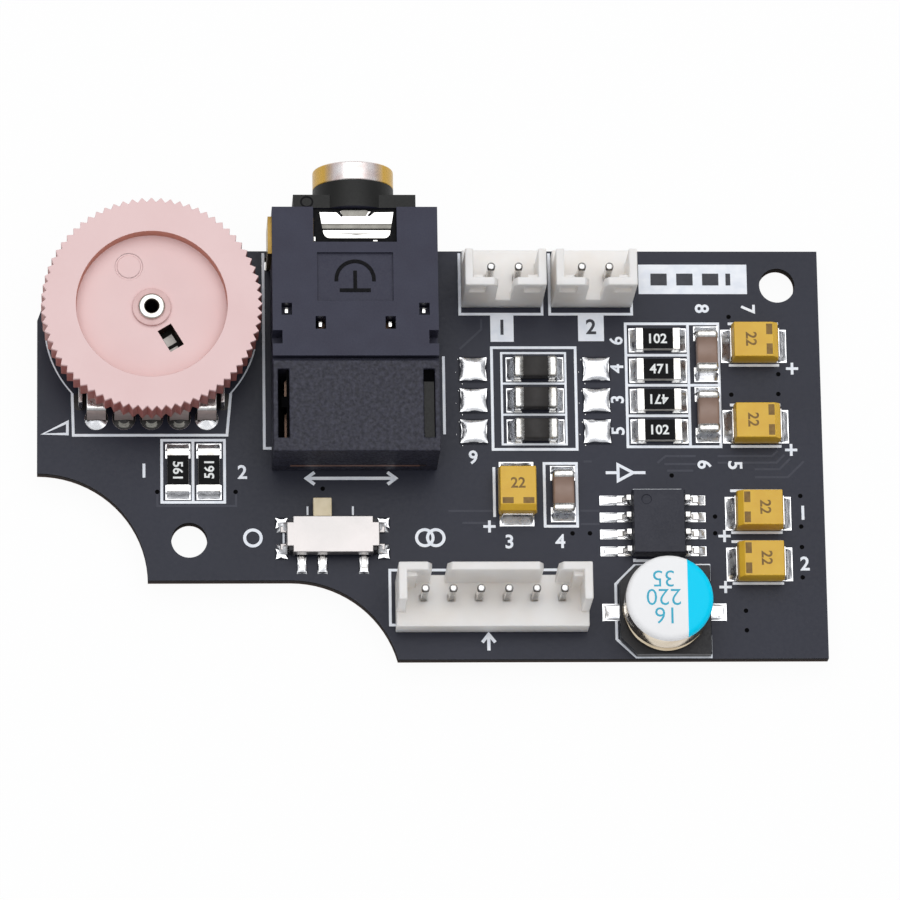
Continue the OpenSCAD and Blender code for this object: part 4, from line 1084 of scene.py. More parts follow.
    def signs(self) -> list[Shape]:
        """Plus marks, and the plain signs that say what the parts and sockets are for.

        Returns:
            The plus marks, the wedge, the rings, the amplifier's triangle with its two lines, the
            input's arrow, and the double arrow of the switch.
        """
        stroke, half = self.stroke, self.plus_half
        made = []
        for x, y in self.plus_at:
            made += [stroke((x - half, y), (x + half, y)), stroke((x, y - half), (x, y + half))]
        made.append(stroke((-28.2, 1.5), (-26.4, 1.5), (-26.4, 2.4), closed=True))
        for x in self.ring_x:
            ring = [(x + dx, self.ring_y + dy) for dx, dy in arc(self.ring_r, 0, 345, 24)]
            made.append(stroke(*ring, share=1.1, closed=True))
        return made + [
            stroke((13.6, -0.85), (13.6, -2.05), (14.7, -1.45), share=1.1, closed=True),
            stroke((12.7, -1.45), (13.6, -1.45), share=1.1), stroke((14.7, -1.45), (15.6, -1.45), share=1.1),
            stroke((3.97, -14.7), (3.97, -13.6), share=1.2),
            stroke((3.5, -14.1), (3.97, -13.5), (4.44, -14.1), share=1.2),
            stroke((-9.0, -1.85), (-2.7, -1.85), share=1.2),
            stroke((-8.5, -1.4), (-9.1, -1.85), (-8.5, -2.3), share=1.2),
            stroke((-3.2, -1.4), (-2.6, -1.85), (-3.2, -2.3), share=1.2)]

    def numbers(self) -> list[Shape]:
        """A plain number beside each small part.

        Returns:
            The level numbers, then those that run down the board and those that run up it.
        """
        level = [("1", -20.86, -1.25), ("2", -13.73, -1.36), ("9", 3.06, -0.28), ("3", 5.59, -6.6),
                 ("4", 9.29, -6.57), ("1", 27.02, -4.48), ("2", 27.06, -8.28)]
        down = [("8", 20.03, 10.98), ("7", 23.41, 10.92), ("6", 19.93, -0.85), ("5", 22.17, -0.9)]
        up = [("6", 13.66, 8.53), ("4", 13.66, 6.41), ("3", 13.66, 4.07), ("5", 13.66, 1.7)]
        groups = ((level, self.number_h, 0), (down, self.number_h, -90), (up, 1.0, 90))
        return [lettering(body, height, turn).moved(x, y)
                for rows, height, turn in groups for body, x, y in rows]


@dataclass
class Solder(SubAssembly):
    """Solder on the lands and round the leads, shaped by how it wets and freezes.

    A land beside a part has a reach, from the part's middle to the land's outer edge, and a width.
    A ball has a place, in shares of a bare land's half length and half width, and a radius.
    """

    chip_land: Pair = (2.12, 1.84)
    moulded_land: Pair = (2.42, 2.54)
    can_land: Pair = (4.52, 1.3)
    can_lead_x: float = 3.28
    lead_w: float = 0.74
    toe_x: float = 2.95
    heel_x: float = 2.4
    floor: float = 0.05
    bare_top: float = 0.15
    bare_off: float = 4.5
    bare_half: Pair = (1.0, 0.9)
    pillow_size: Triple = (1.97, 1.77, 0.14)
    balls: tuple[Triple, ...] = ((-1.12, 0.86, 0.08), (-1.2, -0.3, 0.05), (-0.86, -1.16, 0.07))
    creep_lift: float = 0.03
    tab_at: Pair = (5.15, 5.8)
    tab_r: float = 0.69
    tab_z: float = -0.06
    foot_x: float = 3.3
    foot_y: Pair = (-0.85, 0.85)
    foot_land_at: Pair = (3.7, 1.15)
    terminal_x: tuple[float, ...] = (-2.25, -0.75, 2.25)
    terminal_y: float = -1.95
    chip_pitch: float = 1.27
    pin_half: float = 0.25
    pot_lead: Pair = (0.7, 0.15)
    gleam: Pair = (0.44, 0.68)
    gleam_half: float = 0.38
    cone: Triple = (0.3, 0.85, 0.8)
    jack_lead_in: float = 0.15
    jack_lead_y: Pair = (-13.7, -16.4)

    def slope(self, length: float, width: float, height: float, seed: float) -> Shape:
        """Solder that climbs an end face at x = 0 and runs out to x = length.

        The height falls about as the square of the distance that is left to the land's edge, and
        the sides pull in near the corners.

        Args:
            length: Its reach along x.
            width: Its width at the end face.
            height: Its height there.
            seed: Seed of the unevenness.

        Returns:
            The solder's skin, whose rim lies on the land.
        """
        u, v = np.meshgrid(np.linspace(0, 1, 11), np.linspace(-1, 1, 13), indexing="ij")
        pull = 1 - 0.12 * u * (1 - np.abs(v))
        x = u * length * pull
        y = v * width / 2 * (1 - 0.06 * u * (1 - u) * 4)
        edge = 1 - np.abs(v) ** 5
        z = self.floor + height * (1 - u) ** 2.2 * (0.35 + 0.65 * edge)
        z += 0.05 * np.sin(math.pi * u) * edge * (1 + 0.6 * ripple(x, y, 0.7, seed))
        rim = (np.abs(v) > 0.99) | (u > 0.99)
        return sheet(x, y, np.where(rim, 0.005, z))

    def pillow(self, length: float, width: float, height: float, seed: float) -> Shape:
        """Solder frozen on a bare land: a flat dome with uneven edges.

        The height falls with the fourth power of the distance from the middle, along and across.

        Args:
            length: Length of the land.
            width: Width of the land.
            height: Height of the dome.
            seed: Seed of the unevenness.

        Returns:
            The dome's skin.
        """
        u, v = np.meshgrid(np.linspace(-1, 1, 19), np.linspace(-1, 1, 19), indexing="ij")
        bow = 1 - 0.09 * (1 - v**2) + 0.05 * ripple(u, v, 1.3, seed)
        x = u * length / 2 * np.where(np.abs(u) > 0.6, bow, 1)
        y = v * width / 2 * (1 - 0.07 * (1 - u**2) + 0.04 * ripple(v, u, 1.1, seed + 2))
        z = height * (1 - np.abs(u) ** 4) * (1 - np.abs(v) ** 4) * (1 + 0.28 * ripple(x, y, 1.1, seed))
        return sheet(x, y, z + 0.01)

    def puddle(self, radius: float, seed: float) -> Shape:
        """Solder frozen round a flat lead: it falls away evenly from the lead, with faint dimples.

        Args:
            radius: Its reach from the lead's middle.
            seed: Seed of the unevenness.

        Returns:
            The puddle's skin.
        """
        r, a = np.meshgrid(np.linspace(0, 1, 13), np.arange(32) * math.pi / 16, indexing="ij")
        z = 0.3 * (1 - r) + 0.008 * (1 - r) * ripple(r * np.cos(a), r * np.sin(a), 0.9, seed)
        return sheet(radius * r * np.cos(a), radius * r * np.sin(a), z, True)

    def cone_below(self, seed: float) -> Shape:
        """Solder round a lead: its height goes about as the square of the distance left to its rim.

        Args:
            seed: Seed of the unevenness.

        Returns:
            The cone's skin, which hangs down from z = 0.
        """
        inner, outer, height = self.cone
        r, a = np.meshgrid(np.linspace(0, 1, 9), np.arange(24) * math.pi / 12, indexing="ij")
        reach = inner + (outer - inner) * r
        z = height * (1 - r) ** 2.4 * (1 + 0.12 * np.sin(2 * a + seed)) + 0.03 * np.sin(math.pi * r)
        made = sheet(reach * np.cos(a), reach * np.sin(a), z, True)
        return Shape(made.points * np.array([1, 1, -1]), [face[::-1] for face in made.faces])

    def build(self) -> None:
        """Makes the solder above the board and below it."""
        above = self.small_parts() + self.long_parts() + self.leads_above()
        self.shop.piece("solder_above", joined(above), SOLDER, replaces=("solder_fillets",))
        x, y, _ = self.board.node_middle("pot_rivet")
        tabs = [disc(self.tab_r, 24).moved(x + side * self.tab_at[0], y - self.tab_at[1], self.tab_z)
                for side in (-1, 1)]
        balls = [ball.moved(x, y) for number, side, x, y in self.bare_lands()
                 for ball in self.spatter(number * 2 + side)]
        self.shop.piece("mask_round_lands", joined(self.creeps()), CREEP, smooth=False)
        self.shop.piece("solder_spatter", joined(balls), LAND)
        self.shop.piece("solder_round_tabs", joined(tabs), SHADED_SOLDER)
        self.shop.piece("solder_below", joined(self.leads_below()), SOLDER, replaces=("solder_cones",))

    def bare_lands(self) -> list[tuple[int, int, float, float]]:
        """The bare lands, one at either side of each bead.

        Returns:
            For each land the bead's number, the side as -1 or 1, and the land's x and y.
        """
        beads = [(number, self.board.node_middle(f"ferrite_bead_{number}")) for number in BEADS]
        return [(number, side, at[0] + side * self.bare_off, at[1])
                for number, at in beads for side in (-1, 1)]

    def ends(self, middle: np.ndarray, turn: float, half: float, land: Pair, height: float,
             seed: float) -> list[Shape]:
        """The two slopes at the ends of a part.

        Args:
            middle: The part's middle.
            turn: Direction of the part in degrees.
            half: Distance from the middle to an end face.
            land: The reach and width of the land.
            height: Height at the end face.
            seed: Seed of the unevenness.

        Returns:
            The two slopes.
        """
        reach, width = land
        return [self.slope(reach - half, width, height, seed + side).moved(half, 0).turned(turn + side)
                .moved(middle[0], middle[1]) for side in (0, 180)]

    def lying(self, node: str) -> tuple[np.ndarray, float, float]:
        """How a part lies on the board.

        Args:
            node: Its CAD node.

        Returns:
            Its middle, its direction in degrees and half its length.
        """
        low, high = self.board.node_box(node)
        size = (high - low)[:2]
        return (low + high) / 2, 0 if size[0] > size[1] else 90, max(size) / 2

    def small_parts(self) -> list[Shape]:
        """Solder at the ends of the resistors, beads and ceramic capacitors.

        Returns:
            Two slopes for each part.
        """
        made = []
        groups = (("resistor", RESISTORS, 0.42), ("ferrite_bead", BEADS, 0.7),
                  ("ceramic_capacitor", CERAMICS, 0.8))
        for stem, numbers, height in groups:
            for number in numbers:
                middle, turn, half = self.lying(f"{stem}_{number}")
                made += self.ends(middle, turn, half - 0.03, self.chip_land, height, number + height * 7)
        return made

    def long_parts(self) -> list[Shape]:
        """Solder at the moulded capacitors, the chip and the can, and on the bare lands.

        Returns:
            Slopes for the parts and a pillow for each bare land.
        """
        made = []
        for number in MOULDED:
            middle, turn, half = self.lying(f"moulded_terminals_{number}")
            made += self.ends(middle, turn, half - 0.02, self.moulded_land, 0.5, number)
        chip = self.board.node_middle("amplifier_chip")
        for side, reach in ((0, 0.55), (180, 1.22)):
            for row in range(4):
                y = (row - 1.5) * self.chip_pitch
                toe = self.slope(reach, self.lead_w, 0.2, row + side).moved(self.toe_x, y)
                heel = self.slope(0.45, self.lead_w, 0.06, row).turned(180).moved(self.heel_x, y)
                made += [s.turned(side).moved(chip[0], chip[1]) for s in (toe, heel)]
        made += self.ends(self.board.node_middle("can_base"), 0, self.can_lead_x, self.can_land, 0.22, 3)
        return made + [self.pillow(*self.pillow_size, number + side).moved(x, y, self.bare_top)
                       for number, side, x, y in self.bare_lands()]

    def creeps(self) -> list[Shape]:
        """Mask over the edges of the bare lands and of the switch's lands.

        Returns:
            Four thin strips for each land.
        """
        made = [self.creep(*self.bare_half, 0.09, number + side).moved(x, y, self.bare_top + self.creep_lift)
                for number, side, x, y in self.bare_lands()]
        x, y, _ = self.board.node_middle("switch_base")
        half_l, half_w = self.foot_land_at
        low = self.floor + self.creep_lift
        made += [self.creep(0.45, 0.4, 0.12, across + along).moved(x + across, y + along, low)
                 for across in (-half_l, half_l) for along in (-half_w, half_w)]
        return made + [self.creep(0.35, 0.6, 0.06, across).moved(x + across, y + self.terminal_y, low)
                       for across in self.terminal_x]

    def creep(self, half_l: float, half_w: float, depth: float, seed: float) -> Shape:
        """Mask over a land's edges: each side bows in by a parabola with gentle unevenness.

        Args:
            half_l: Half the land's length.
            half_w: Half its width.
            depth: How far the mask comes in at the middle of a side.
            seed: Seed of the unevenness.

        Returns:
            Four strips at z = 0.
        """
        t = np.linspace(-1, 1, 17)
        sides = []
        for turn in (0, 90, 180, 270):
            along, across = (half_w, half_l) if turn % 180 else (half_l, half_w)
            inward = depth * (1 - t**2) * (1 + 0.45 * ripple(t, t, 1.1, seed + turn))
            edge = [(x, -across - 0.02) for x in t * along]
            bow = [(x, -across + y) for x, y in zip(t * along, inward)]
            sides.append(flat(*edge, *bow[::-1]).turned(turn))
        return joined(sides)

    def spatter(self, seed: float) -> list[Shape]:
        """Tiny balls of solder off a bare land's corners.

        Args:
            seed: Seed of their places.

        Returns:
            The balls about the land's middle.
        """
        half_l, half_w = self.bare_half
        made = []
        for i, (x, y, r) in enumerate(self.balls):
            shift = 0.08 * math.sin(seed * 3 + i * 2)
            ball = lathe([(r, 0), (r * 0.7, r * 0.6), (0, r * 0.8)], 10)
            made.append(ball.moved((x + shift) * half_l, (y - shift) * half_w, 0.01))
        return made

    def leads_above(self) -> list[Shape]:
        """Solder round the volume control's leads and at the switch's feet and terminals.

        Returns:
            The slopes at the switch. The puddles round the leads become pieces of their own.
        """
        low, high = self.board.node_box("pot_leads")
        inset, lead_y = self.pot_lead[0], low[1] + self.pot_lead[1]
        row = np.linspace(low[0] + inset, high[0] - inset, 5)
        puddles = [self.puddle(0.84, i).moved(x, lead_y, 0.055) for i, x in enumerate(row)]
        bright = self.shop.piece("solder_outer_leads", joined([puddles[0], puddles[-1]]), LAND)
        # Painted shade: the solder behind each outer lead takes the shaded finish.
        self.shop.paint(bright, SHADED_SOLDER, lambda at, normal: at[:, 1] > low[1] - 0.05)
        # The solder round the inner leads is painted as shade under the wheel, with a painted gleam in
        # front.
        inner_shaded = self.shop.piece("solder_inner_leads", joined(puddles[1:-1]), SHADED_SOLDER)
        self.shop.paint(inner_shaded, FOLD, lambda at, normal: self.on_gleam(at, row, lead_y))
        made = [self.slope(0.7, self.lead_w, 0.14, x).turned(-90).moved(x, self.terminal_y)
                for x in self.terminal_x]
        made += [self.slope(0.75, 0.8, 0.3, y + side).moved(self.foot_x, y).turned(side)
                 for side in (0, 180) for y in self.foot_y]
        x, y, _ = self.board.node_middle("switch_base")
        return [part.moved(x, y) for part in made]

    def on_gleam(self, at: np.ndarray, row: np.ndarray, y: float) -> np.ndarray:
        """Which faces of the solder round the inner leads catch the light, in a short arc in front.

        Args:
            at: Middles of the faces in the board's frame.
            row: The leads' places along X.
            y: The row's place along Y.

        Returns:
            True for each face of an arc.
        """
        across = np.abs(at[:, :1] - row[None, :]).min(axis=1)
        reach = np.hypot(across, at[:, 1] - y)
        near, far = self.gleam
        return (reach > near) & (reach < far) & (across < self.gleam_half) & (at[:, 1] < y)

    def leads_below(self) -> list[Shape]:
        """A cone of solder round each lead under the board.

        Returns:
            The cones of the headers, of the volume control and of the jack.
        """
        under = self.board.node_box("circuit_board")[0][2]
        made = []
        for node, count in (("left_header_pins", 2), ("right_header_pins", 2), ("input_header_pins", 6),
                            ("pot_leads", 5)):
            low, high = self.board.node_box(node)
            half = self.pin_half if "header" in node else self.pot_lead[0]
            y = (low[1] + high[1]) / 2 if "header" in node else low[1] + self.pot_lead[1]
            row = np.linspace(low[0] + half, high[0] - half, count)
            made += [self.cone_below(x).moved(x, y, under) for x in row]
        front = self.board.jack_front()[1]
        for i, node in enumerate(JACK_SPRINGS):
            low, high = self.board.node_box(node)
            x = high[0] - self.jack_lead_in if i % 2 else low[0] + self.jack_lead_in
            made.append(self.cone_below(i).moved(x, front + self.jack_lead_y[i // 2], under))
        return made


# Volume control


@dataclass
class VolumeControl(SubAssembly):
    """The thumbwheel on its hollow rivet, and the sheet-metal frame, wafer and leads below it."""

    rivet_bore: float = 0.45
    rivet_r: float = 0.97
    rivet_neck: float = 0.7
    flange_h: float = 0.25
    roll_r: float = 0.13
    roll_h: float = 0.12
    pin_shade_r: float = 0.58
    slot_turn: float = -59.0
    slot: Pair = (1.7, 3.6)
    slot_half: float = 0.6
    dish_r: float = 5.45
    dish_wall_half: float = 0.25
    lead_slant: float = -0.62
    lead_shade_z: float = -1.2
    blade_corners: tuple[Corners, ...] = ((2.15, -0.34, 2.84, 0.4), (3.1, -0.46, 3.5, 0.3))

    def build(self) -> None:
        """Makes the wheel and what it turns on."""
        shop = self.shop
        middle = self.board.node_middle("pot_rivet")
        axis = self.board.to_row(middle)
        plastic = WheelPlastic(
            "acetal_pink_moulded", "wheel_plastic", "#edcdcb", "#e8c6c4", (0.42, 0.55),
            patch=6.0, grain=0.25, relief=0.002,
            axis_at=(float(axis[0]), float(axis[1])), top=float(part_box("thumbwheel")[1].z) / MM)
        wheel = shop.softened("thumbwheel", 0.05, plastic, Body.WHEEL, clamp=False)
        shop.paint(wheel, DISH_WALL, self.on_dish_wall)
        shop.paint(wheel, SLOT_SHADE, self.in_slot)
        shop.softened("pot_washer", 0.05, WASHER)
        shop.softened("pot_frame", 0.06, TINPLATE)
        leads = shop.softened("pot_leads", 0.06, TINNED_BRASS)
        shop.paint(leads, LEAD_SHADE, lambda at, normal: (
            (normal[:, 1] < self.lead_slant) & (at[:, 2] > self.lead_shade_z)))
        shop.softened("pot_wafer", 0.06, WAFER)
        shop.dress_node("pot_wiper", DARK_SPRING)
        shop.piece("wiper_blade", self.blade(), BLADE, Body.WHEEL, smooth=False)
        eyelet = shop.piece("eyelet_rolled", self.eyelet(), EYELET, replaces=("pot_rivet",), closed=True)
        shop.paint(eyelet, PIN_SHADE, lambda at, normal: np.hypot(*(at - middle).T[:2]) < self.pin_shade_r)

    def on_dish_wall(self, at: np.ndarray, normal: np.ndarray) -> np.ndarray:
        """Which faces are the upright wall round the wheel's dish."""
        far = np.hypot(*(at - self.board.node_middle("pot_rivet")).T[:2])
        return (np.abs(far - self.dish_r) < self.dish_wall_half) & (np.abs(normal[:, 2]) < UPRIGHT)

    def in_slot(self, at: np.ndarray, normal: np.ndarray) -> np.ndarray:
        """Which faces are the walls of the wheel's slot.

        Args:
            at: Middles of the faces in the board's frame.
            normal: Their normals.

        Returns:
            True for each wall, found in a frame turned along the slot.
        """
        x, y = (at - self.board.node_middle("pot_rivet")).T[:2]
        a = math.radians(self.slot_turn)
        along = x * math.cos(a) + y * math.sin(a)
        across = y * math.cos(a) - x * math.sin(a)
        inside = (along > self.slot[0]) & (along < self.slot[1]) & (np.abs(across) < self.slot_half)
        return inside & (np.abs(normal[:, 2]) < UPRIGHT)

    def blade(self) -> Shape:
        """The two lengths of the wiper that catch the light in the slot, as painted highlights.

        Returns:
            The lengths, just above the wiper.
        """
        x, y, _ = self.board.node_middle("pot_rivet")
        top = self.board.node_box("pot_wiper")[1][2]
        lengths = joined([panel(*corners) for corners in self.blade_corners])
        return lengths.turned(self.slot_turn).moved(x, y, top + 0.01)

    def eyelet(self) -> Shape:
        """The rivet: a tube whose top is rolled outwards over the washer in a quarter round.

        Returns:
            The rivet's closed skin.
        """
        low, high = self.board.node_box("pot_rivet")
        x, y, _ = (low + high) / 2
        bore, out, neck, foot = self.rivet_bore, self.rivet_r, self.rivet_neck, low[2] + self.flange_h
        seat = high[2] - self.flange_h
        lip = seat + self.roll_h
        roll = [(out - self.roll_r + self.roll_r * math.sin(a), lip - self.roll_h * math.cos(a))
                for a in np.linspace(0, 1.57, 5)]
        crown = [((out + bore) / 2 + (out - bore) / 2 * math.cos(a), lip + self.roll_r * math.sin(a))
                 for a in np.linspace(0, math.pi, 11)]
        profile = [(bore, low[2]), (out, low[2]), (out, foot), (neck, foot), (neck, seat),
                   *roll, *crown, (bore, seat), (bore, low[2])]
        return lathe(profile, 48).moved(x, y)


# Headphone jack


@dataclass
class HeadphoneJack(SubAssembly):
    """The jack: two black mouldings, a plated nose ring and the sprung contacts in their slots.

    Places along X and Y are measured from the middle of the jack's front face.
    """

    arc_r: float = 1.36
    arc_y: float = -5.42
    stroke: float = 0.26
    sign_thickness: float = 0.06
    sign_sunk: float = 0.25
    stem_y: Pair = (-4.77, -6.15)
    foot_half: float = 1.12
    foot_y: float = -6.24
    shoulder_drop: float = 0.3
    gate_at: Pair = (-3.45, 0.45)
    tool_holes: tuple[Pair, ...] = ((-4.975, -7.7), (-2.525, -8.73), (2.525, -8.73), (4.975, -7.7))
    tail_half: float = 4.7
    tail_z: Pair = (1.17, 1.53)
    window_x: Pair = (-2.98, 3.02)
    window_y: Pair = (-2.62, -0.02)
    strip_x: Pair = (-2.54, 2.83)
    fold_y: Triple = (-1.17, -1.53, -1.67)
    edge_glints: tuple[Corners, ...] = ((-2.95, -2.5, -2.85, -2.2), (1.35, -2.52, 1.65, -2.44))
    over_contact: float = 0.2
    slot_x: Pair = (4.8, 5.6)
    slot_y: Pair = (-17.3, -12.2)
    mouth_y: float = -13.1
    wall_x: Pair = (-5.04, -4.8)
    gap: Corners = (-5.4, -15.0, -5.04, -14.2)
    slot_sunk: float = 0.25
    under_x: float = 5.25
    under_half: float = 0.45
    under_y: Pair = (-17.2, -12.2)

    def build(self) -> None:
        """Makes the mouldings, the sign and the contacts."""
        shop = self.shop
        x, front = self.board.jack_front()
        housing = shop.softened("jack_housing", 0.07, JACK)
        shop.paint(housing, COLLAR_AND_SLOT_SHADE, lambda at, normal: at[:, 1] > front + 0.03)
        shop.softened("jack_rear_cap", 0.09, CAP)
        axis = float(self.board.to_row(self.board.node_middle("jack_nose_ring"))[0])
        plating = RingPlating("brass_nickel_turned", "plated_ring", "#f5f1f0", "#e2cdc8", (0.2, 0.35), 0.45,
                              patch=1.1, relief=0.002, stretch=(8.0, 1.0, 1.0), axis_x=axis)
        shop.softened("jack_nose_ring", 0.12, plating, segments=3)
        shop.dress_node("jack_sleeve_contact", GOLDEN)
        for node in JACK_SPRINGS:
            shop.dress_node(node, BRASS)
        sign = shop.piece("jack_sign", self.sign(), SIGN, smooth=False)
        thick = sign.modifiers.new("sign_thickness", "SOLIDIFY")
        thick.thickness = self.sign_thickness * MM
        thick.offset = -1
        window = shop.piece("window_contact", self.window_contact(), CONTACT)
        near, far, end = (front + y for y in self.fold_y)
        # Painted shade: the fold is grey, and the gap behind it black.
        shop.paint(window, FOLD, lambda at, normal: (at[:, 1] < near) & (at[:, 1] > far))
        shop.paint(window, SIGN, lambda at, normal: (at[:, 1] < far) & (at[:, 1] > end))
        shop.piece("window_shades", self.window_shades(), SIGN, smooth=False)
        shop.piece("slot_shades", self.slot_shades(), GLOOM, smooth=False)
        # Painted shade: a grey sheet over the rest of the right slot.
        shop.piece("slot_strip", self.slot_strip(), COLLAR_AND_SLOT_SHADE, smooth=False)
        shop.piece("window_notch", self.notch(), FOLD, smooth=False)
        shop.piece("jack_glints", self.glints(), CONTACT, smooth=False)
        shop.piece("tail_face", self.tail_face(), TAIL, smooth=False)
        gate = ribbon([(across, along * 0.9) for across, along in arc(0.42, 0, 345, 24)], 0.13, True)
        shoulder = self.top() - self.shoulder_drop
        gate = gate.moved(x + self.gate_at[0], front + self.gate_at[1], shoulder + 0.01)
        shop.piece("gate_mark", gate, SIGN)

    def top(self) -> float:
        """The height of the rear cap, which is as high as the body and lower than the collar."""
        return float(self.board.node_box("jack_rear_cap")[1][2])

    def contact_top(self) -> float:
        """The height of the sleeve contact."""
        return float(self.board.node_box("jack_sleeve_contact")[1][2])

    def sign(self) -> Shape:
        """A headband over a stem and a foot, as on any headphone socket.

        Returns:
            The sign's top face, sunk into the housing.
        """
        r = self.arc_r
        band = ribbon([(-r, -0.14), *arc(r, 180, 0, 24), (r, -0.14)], self.stroke).moved(0, self.arc_y)
        stem = ribbon([(0, y) for y in self.stem_y], self.stroke)
        foot = ribbon([(-self.foot_half, self.foot_y), (self.foot_half, self.foot_y)], self.stroke)
        level = self.top() - self.sign_sunk + self.sign_thickness
        return stacked([band, stem, foot]).moved(*self.board.jack_front(), level)

    def window_contact(self) -> Shape:
        """The sleeve spring seen in the window: a strip that is folded at two thirds.

        Its sides draw in with the distance from the front, and its far corners are quarter rounds.
        Its height dips by a half sine at the fold.

        Returns:
            The strip's top face.
        """
        x, y = self.board.jack_front()
        rows = np.array([0.27, 0.6, 0.9, 1.165, 1.175, 1.3, 1.525, 1.535, 1.6, 1.665, 1.675, 1.8, 1.9, 2.0,
                         2.08, 2.15, 2.2, 2.24, 2.27])
        corner = np.clip((rows - 1.87) / 0.4, 0, 1)
        drawn = 0.17 * (rows - 0.27) + 0.4 * (1 - np.sqrt(1 - corner**2))
        u = np.linspace(0, 1, 13)[:, None]
        left, right = self.strip_x[0] + drawn, self.strip_x[1] - drawn * 0.9
        dip = np.sin(math.pi * np.clip((rows - 1.17) / 0.5, 0, 1))
        z = self.contact_top() + 0.14 - 0.1 * dip + 0.03 * np.sin(rows * 4)
        return sheet(x + left + (right - left) * u, y - rows + 0 * u, z + 0 * u)

    def notch(self) -> Shape:
        """The middle of the strip, seen through the notch in the window's front wall, in painted shade."""
        face = flat((-0.83, -0.62), (0.83, -0.62), (1.0, -0.3), (0.9, -0.18), (-0.9, -0.18), (-1.0, -0.3))
        return face.moved(*self.board.jack_front(), self.contact_top() + self.over_contact)

    def glints(self) -> Shape:
        """Painted glints where the springs catch the light in the tool holes and at the window's edge.

        Returns:
            The slivers as flat faces.
        """
        holes = [panel(x - 0.1, y - 0.05, x + 0.1, y + 0.33).moved(0, 0, self.top() - 0.9)
                 for x, y in self.tool_holes]
        edges = [panel(*corners).moved(0, 0, self.contact_top() + self.over_contact)
                 for corners in self.edge_glints]
        return joined([*holes, *edges]).moved(*self.board.jack_front())

    def tail_face(self) -> Shape:
        """The face of the spring tail that crosses the back of the rear cap.

        Returns:
            An upright face.
        """
        low, high = self.board.node_box("jack_rear_cap")
        face = panel(-self.tail_half, self.tail_z[0], self.tail_half, self.tail_z[1])
        return Shape(face.points[:, [0, 2, 1]], face.faces).moved((low[0] + high[0]) / 2, low[1] - 0.004, 0)

    def window_shades(self) -> Shape:
        """The dark room under the strip, the edges of the notch in front of it, and its crease.

        Returns:
            The shades, with one under each of the cap's slots.
        """
        contact = self.contact_top()
        level = contact + 0.19
        (x0, x1), (y0, y1) = self.window_x, self.window_y
        room = panel(x0, y0, x1, y1).moved(0, 0, contact + 0.02 - level)
        left = flat((-2.6, -0.31), (-1.3, -0.33), (-0.95, -0.68), (-0.83, -0.6), (-1.1, -0.2), (-2.6, -0.2))
        right = flat((2.9, -0.2), (1.25, -0.2), (0.95, -0.56), (1.07, -0.65), (1.45, -0.33), (2.9, -0.3))
        crease = flat((-1.45, -1.93), (0.1, -2.02), (1.75, -1.94), (0.1, -1.93))
        (y0, y1), half = self.under_y, self.under_half
        under = [panel(x - half, y0, x + half, y1).moved(0, 0, 0.1 - level)
                 for x in (-self.under_x, self.under_x)]
        return joined([room, left, right, crease, *under]).moved(*self.board.jack_front(), level)

    def slot_shades(self) -> Shape:
        """The dark wall and gap beside the left springs, and the dark mouth of the right slot.

        Returns:
            The shades, a little under the cap's top.
        """
        (x0, x1), (y0, y1) = self.slot_x, self.slot_y
        wall = panel(self.wall_x[0], y0, self.wall_x[1], y1)
        shades = joined([wall, panel(*self.gap), panel(x0, self.mouth_y, x1, y1)])
        return shades.moved(*self.board.jack_front(), self.top() - self.slot_sunk)

    def slot_strip(self) -> Shape:
        """A grey sheet of painted shade that fills the rest of the right slot."""
        strip = panel(self.slot_x[0], self.slot_y[0], self.slot_x[1], self.mouth_y)
        return strip.moved(*self.board.jack_front(), self.top() - self.slot_sunk)


# Headers and switch


@dataclass
class PinHeaders(SubAssembly):
    """Three nylon headers with square tinned pins.

    Each station of a pin's tip is a distance from the top, a share of the half width and the
    exponent of the section.
    """

    sides: tuple[str, ...] = ("left", "right", "input")
    pin_a: float = 0.5
    pitch: float = 2.0
    tip: tuple[Triple, ...] = (
        (0.34, 1, 8), (0.26, 1.12, 3), (0.14, 1.18, 2), (0.04, 1.12, 2), (0, 0.98, 2), (0, 0, 2))

    def build(self) -> None:
        """Makes the housings and the pins."""
        for side in self.sides:
            self.shop.softened(f"{side}_header_housing", 0.09, NYLON, segments=3)
            self.pins(side)

    def pins(self, side: str) -> None:
        """Makes square pins whose tips are coined round, with a small flat on top.

        Args:
            side: The header's name.
        """
        node = f"{side}_header_pins"
        low, high = self.board.node_box(node)
        half = self.pin_a / 2
        tall = high[2] - low[2]
        count = round((high[0] - low[0] - self.pin_a) / self.pitch) + 1
        tip = [(tall - down, half * share, half * share, n) for down, share, n in self.tip]
        shank = bar([(0, 0, 0, 8), (0, half * 0.8, half * 0.8, 8), (0.1, half, half, 8), *tip], 24)
        pin = Shape(shank.points[:, [1, 2, 0]], shank.faces)
        row = [pin.moved(x, (low[1] + high[1]) / 2, low[2])
               for x in np.linspace(low[0] + half, high[0] - half, count)]
        made = self.shop.piece(f"{node}_coined", joined(row), TINNED_BRASS, replaces=(node,), closed=True)
        neck = high[2] - self.tip[0][0]
        self.shop.paint(made, PIN_SHADE, lambda at, normal: (at[:, 2] > neck) & (normal[:, 2] < 0.9))


@dataclass
class SlideSwitch(SubAssembly):
    """The slide switch: a pressed cover over a black tub, and a lever that slides in its gate."""

    def build(self) -> None:
        """Makes the cover, tub, lever and terminals."""
        self.shop.softened("switch_cover", 0.07, COVER)
        self.shop.softened("switch_base", 0.04, BLACK)
        self.shop.softened("switch_lever", 0.08, LEVER, Body.LEVER)
        self.shop.dress_node("switch_bridge", BRASS)
        self.shop.softened("switch_terminals", 0.04, TINNED_BRASS)


# Small parts


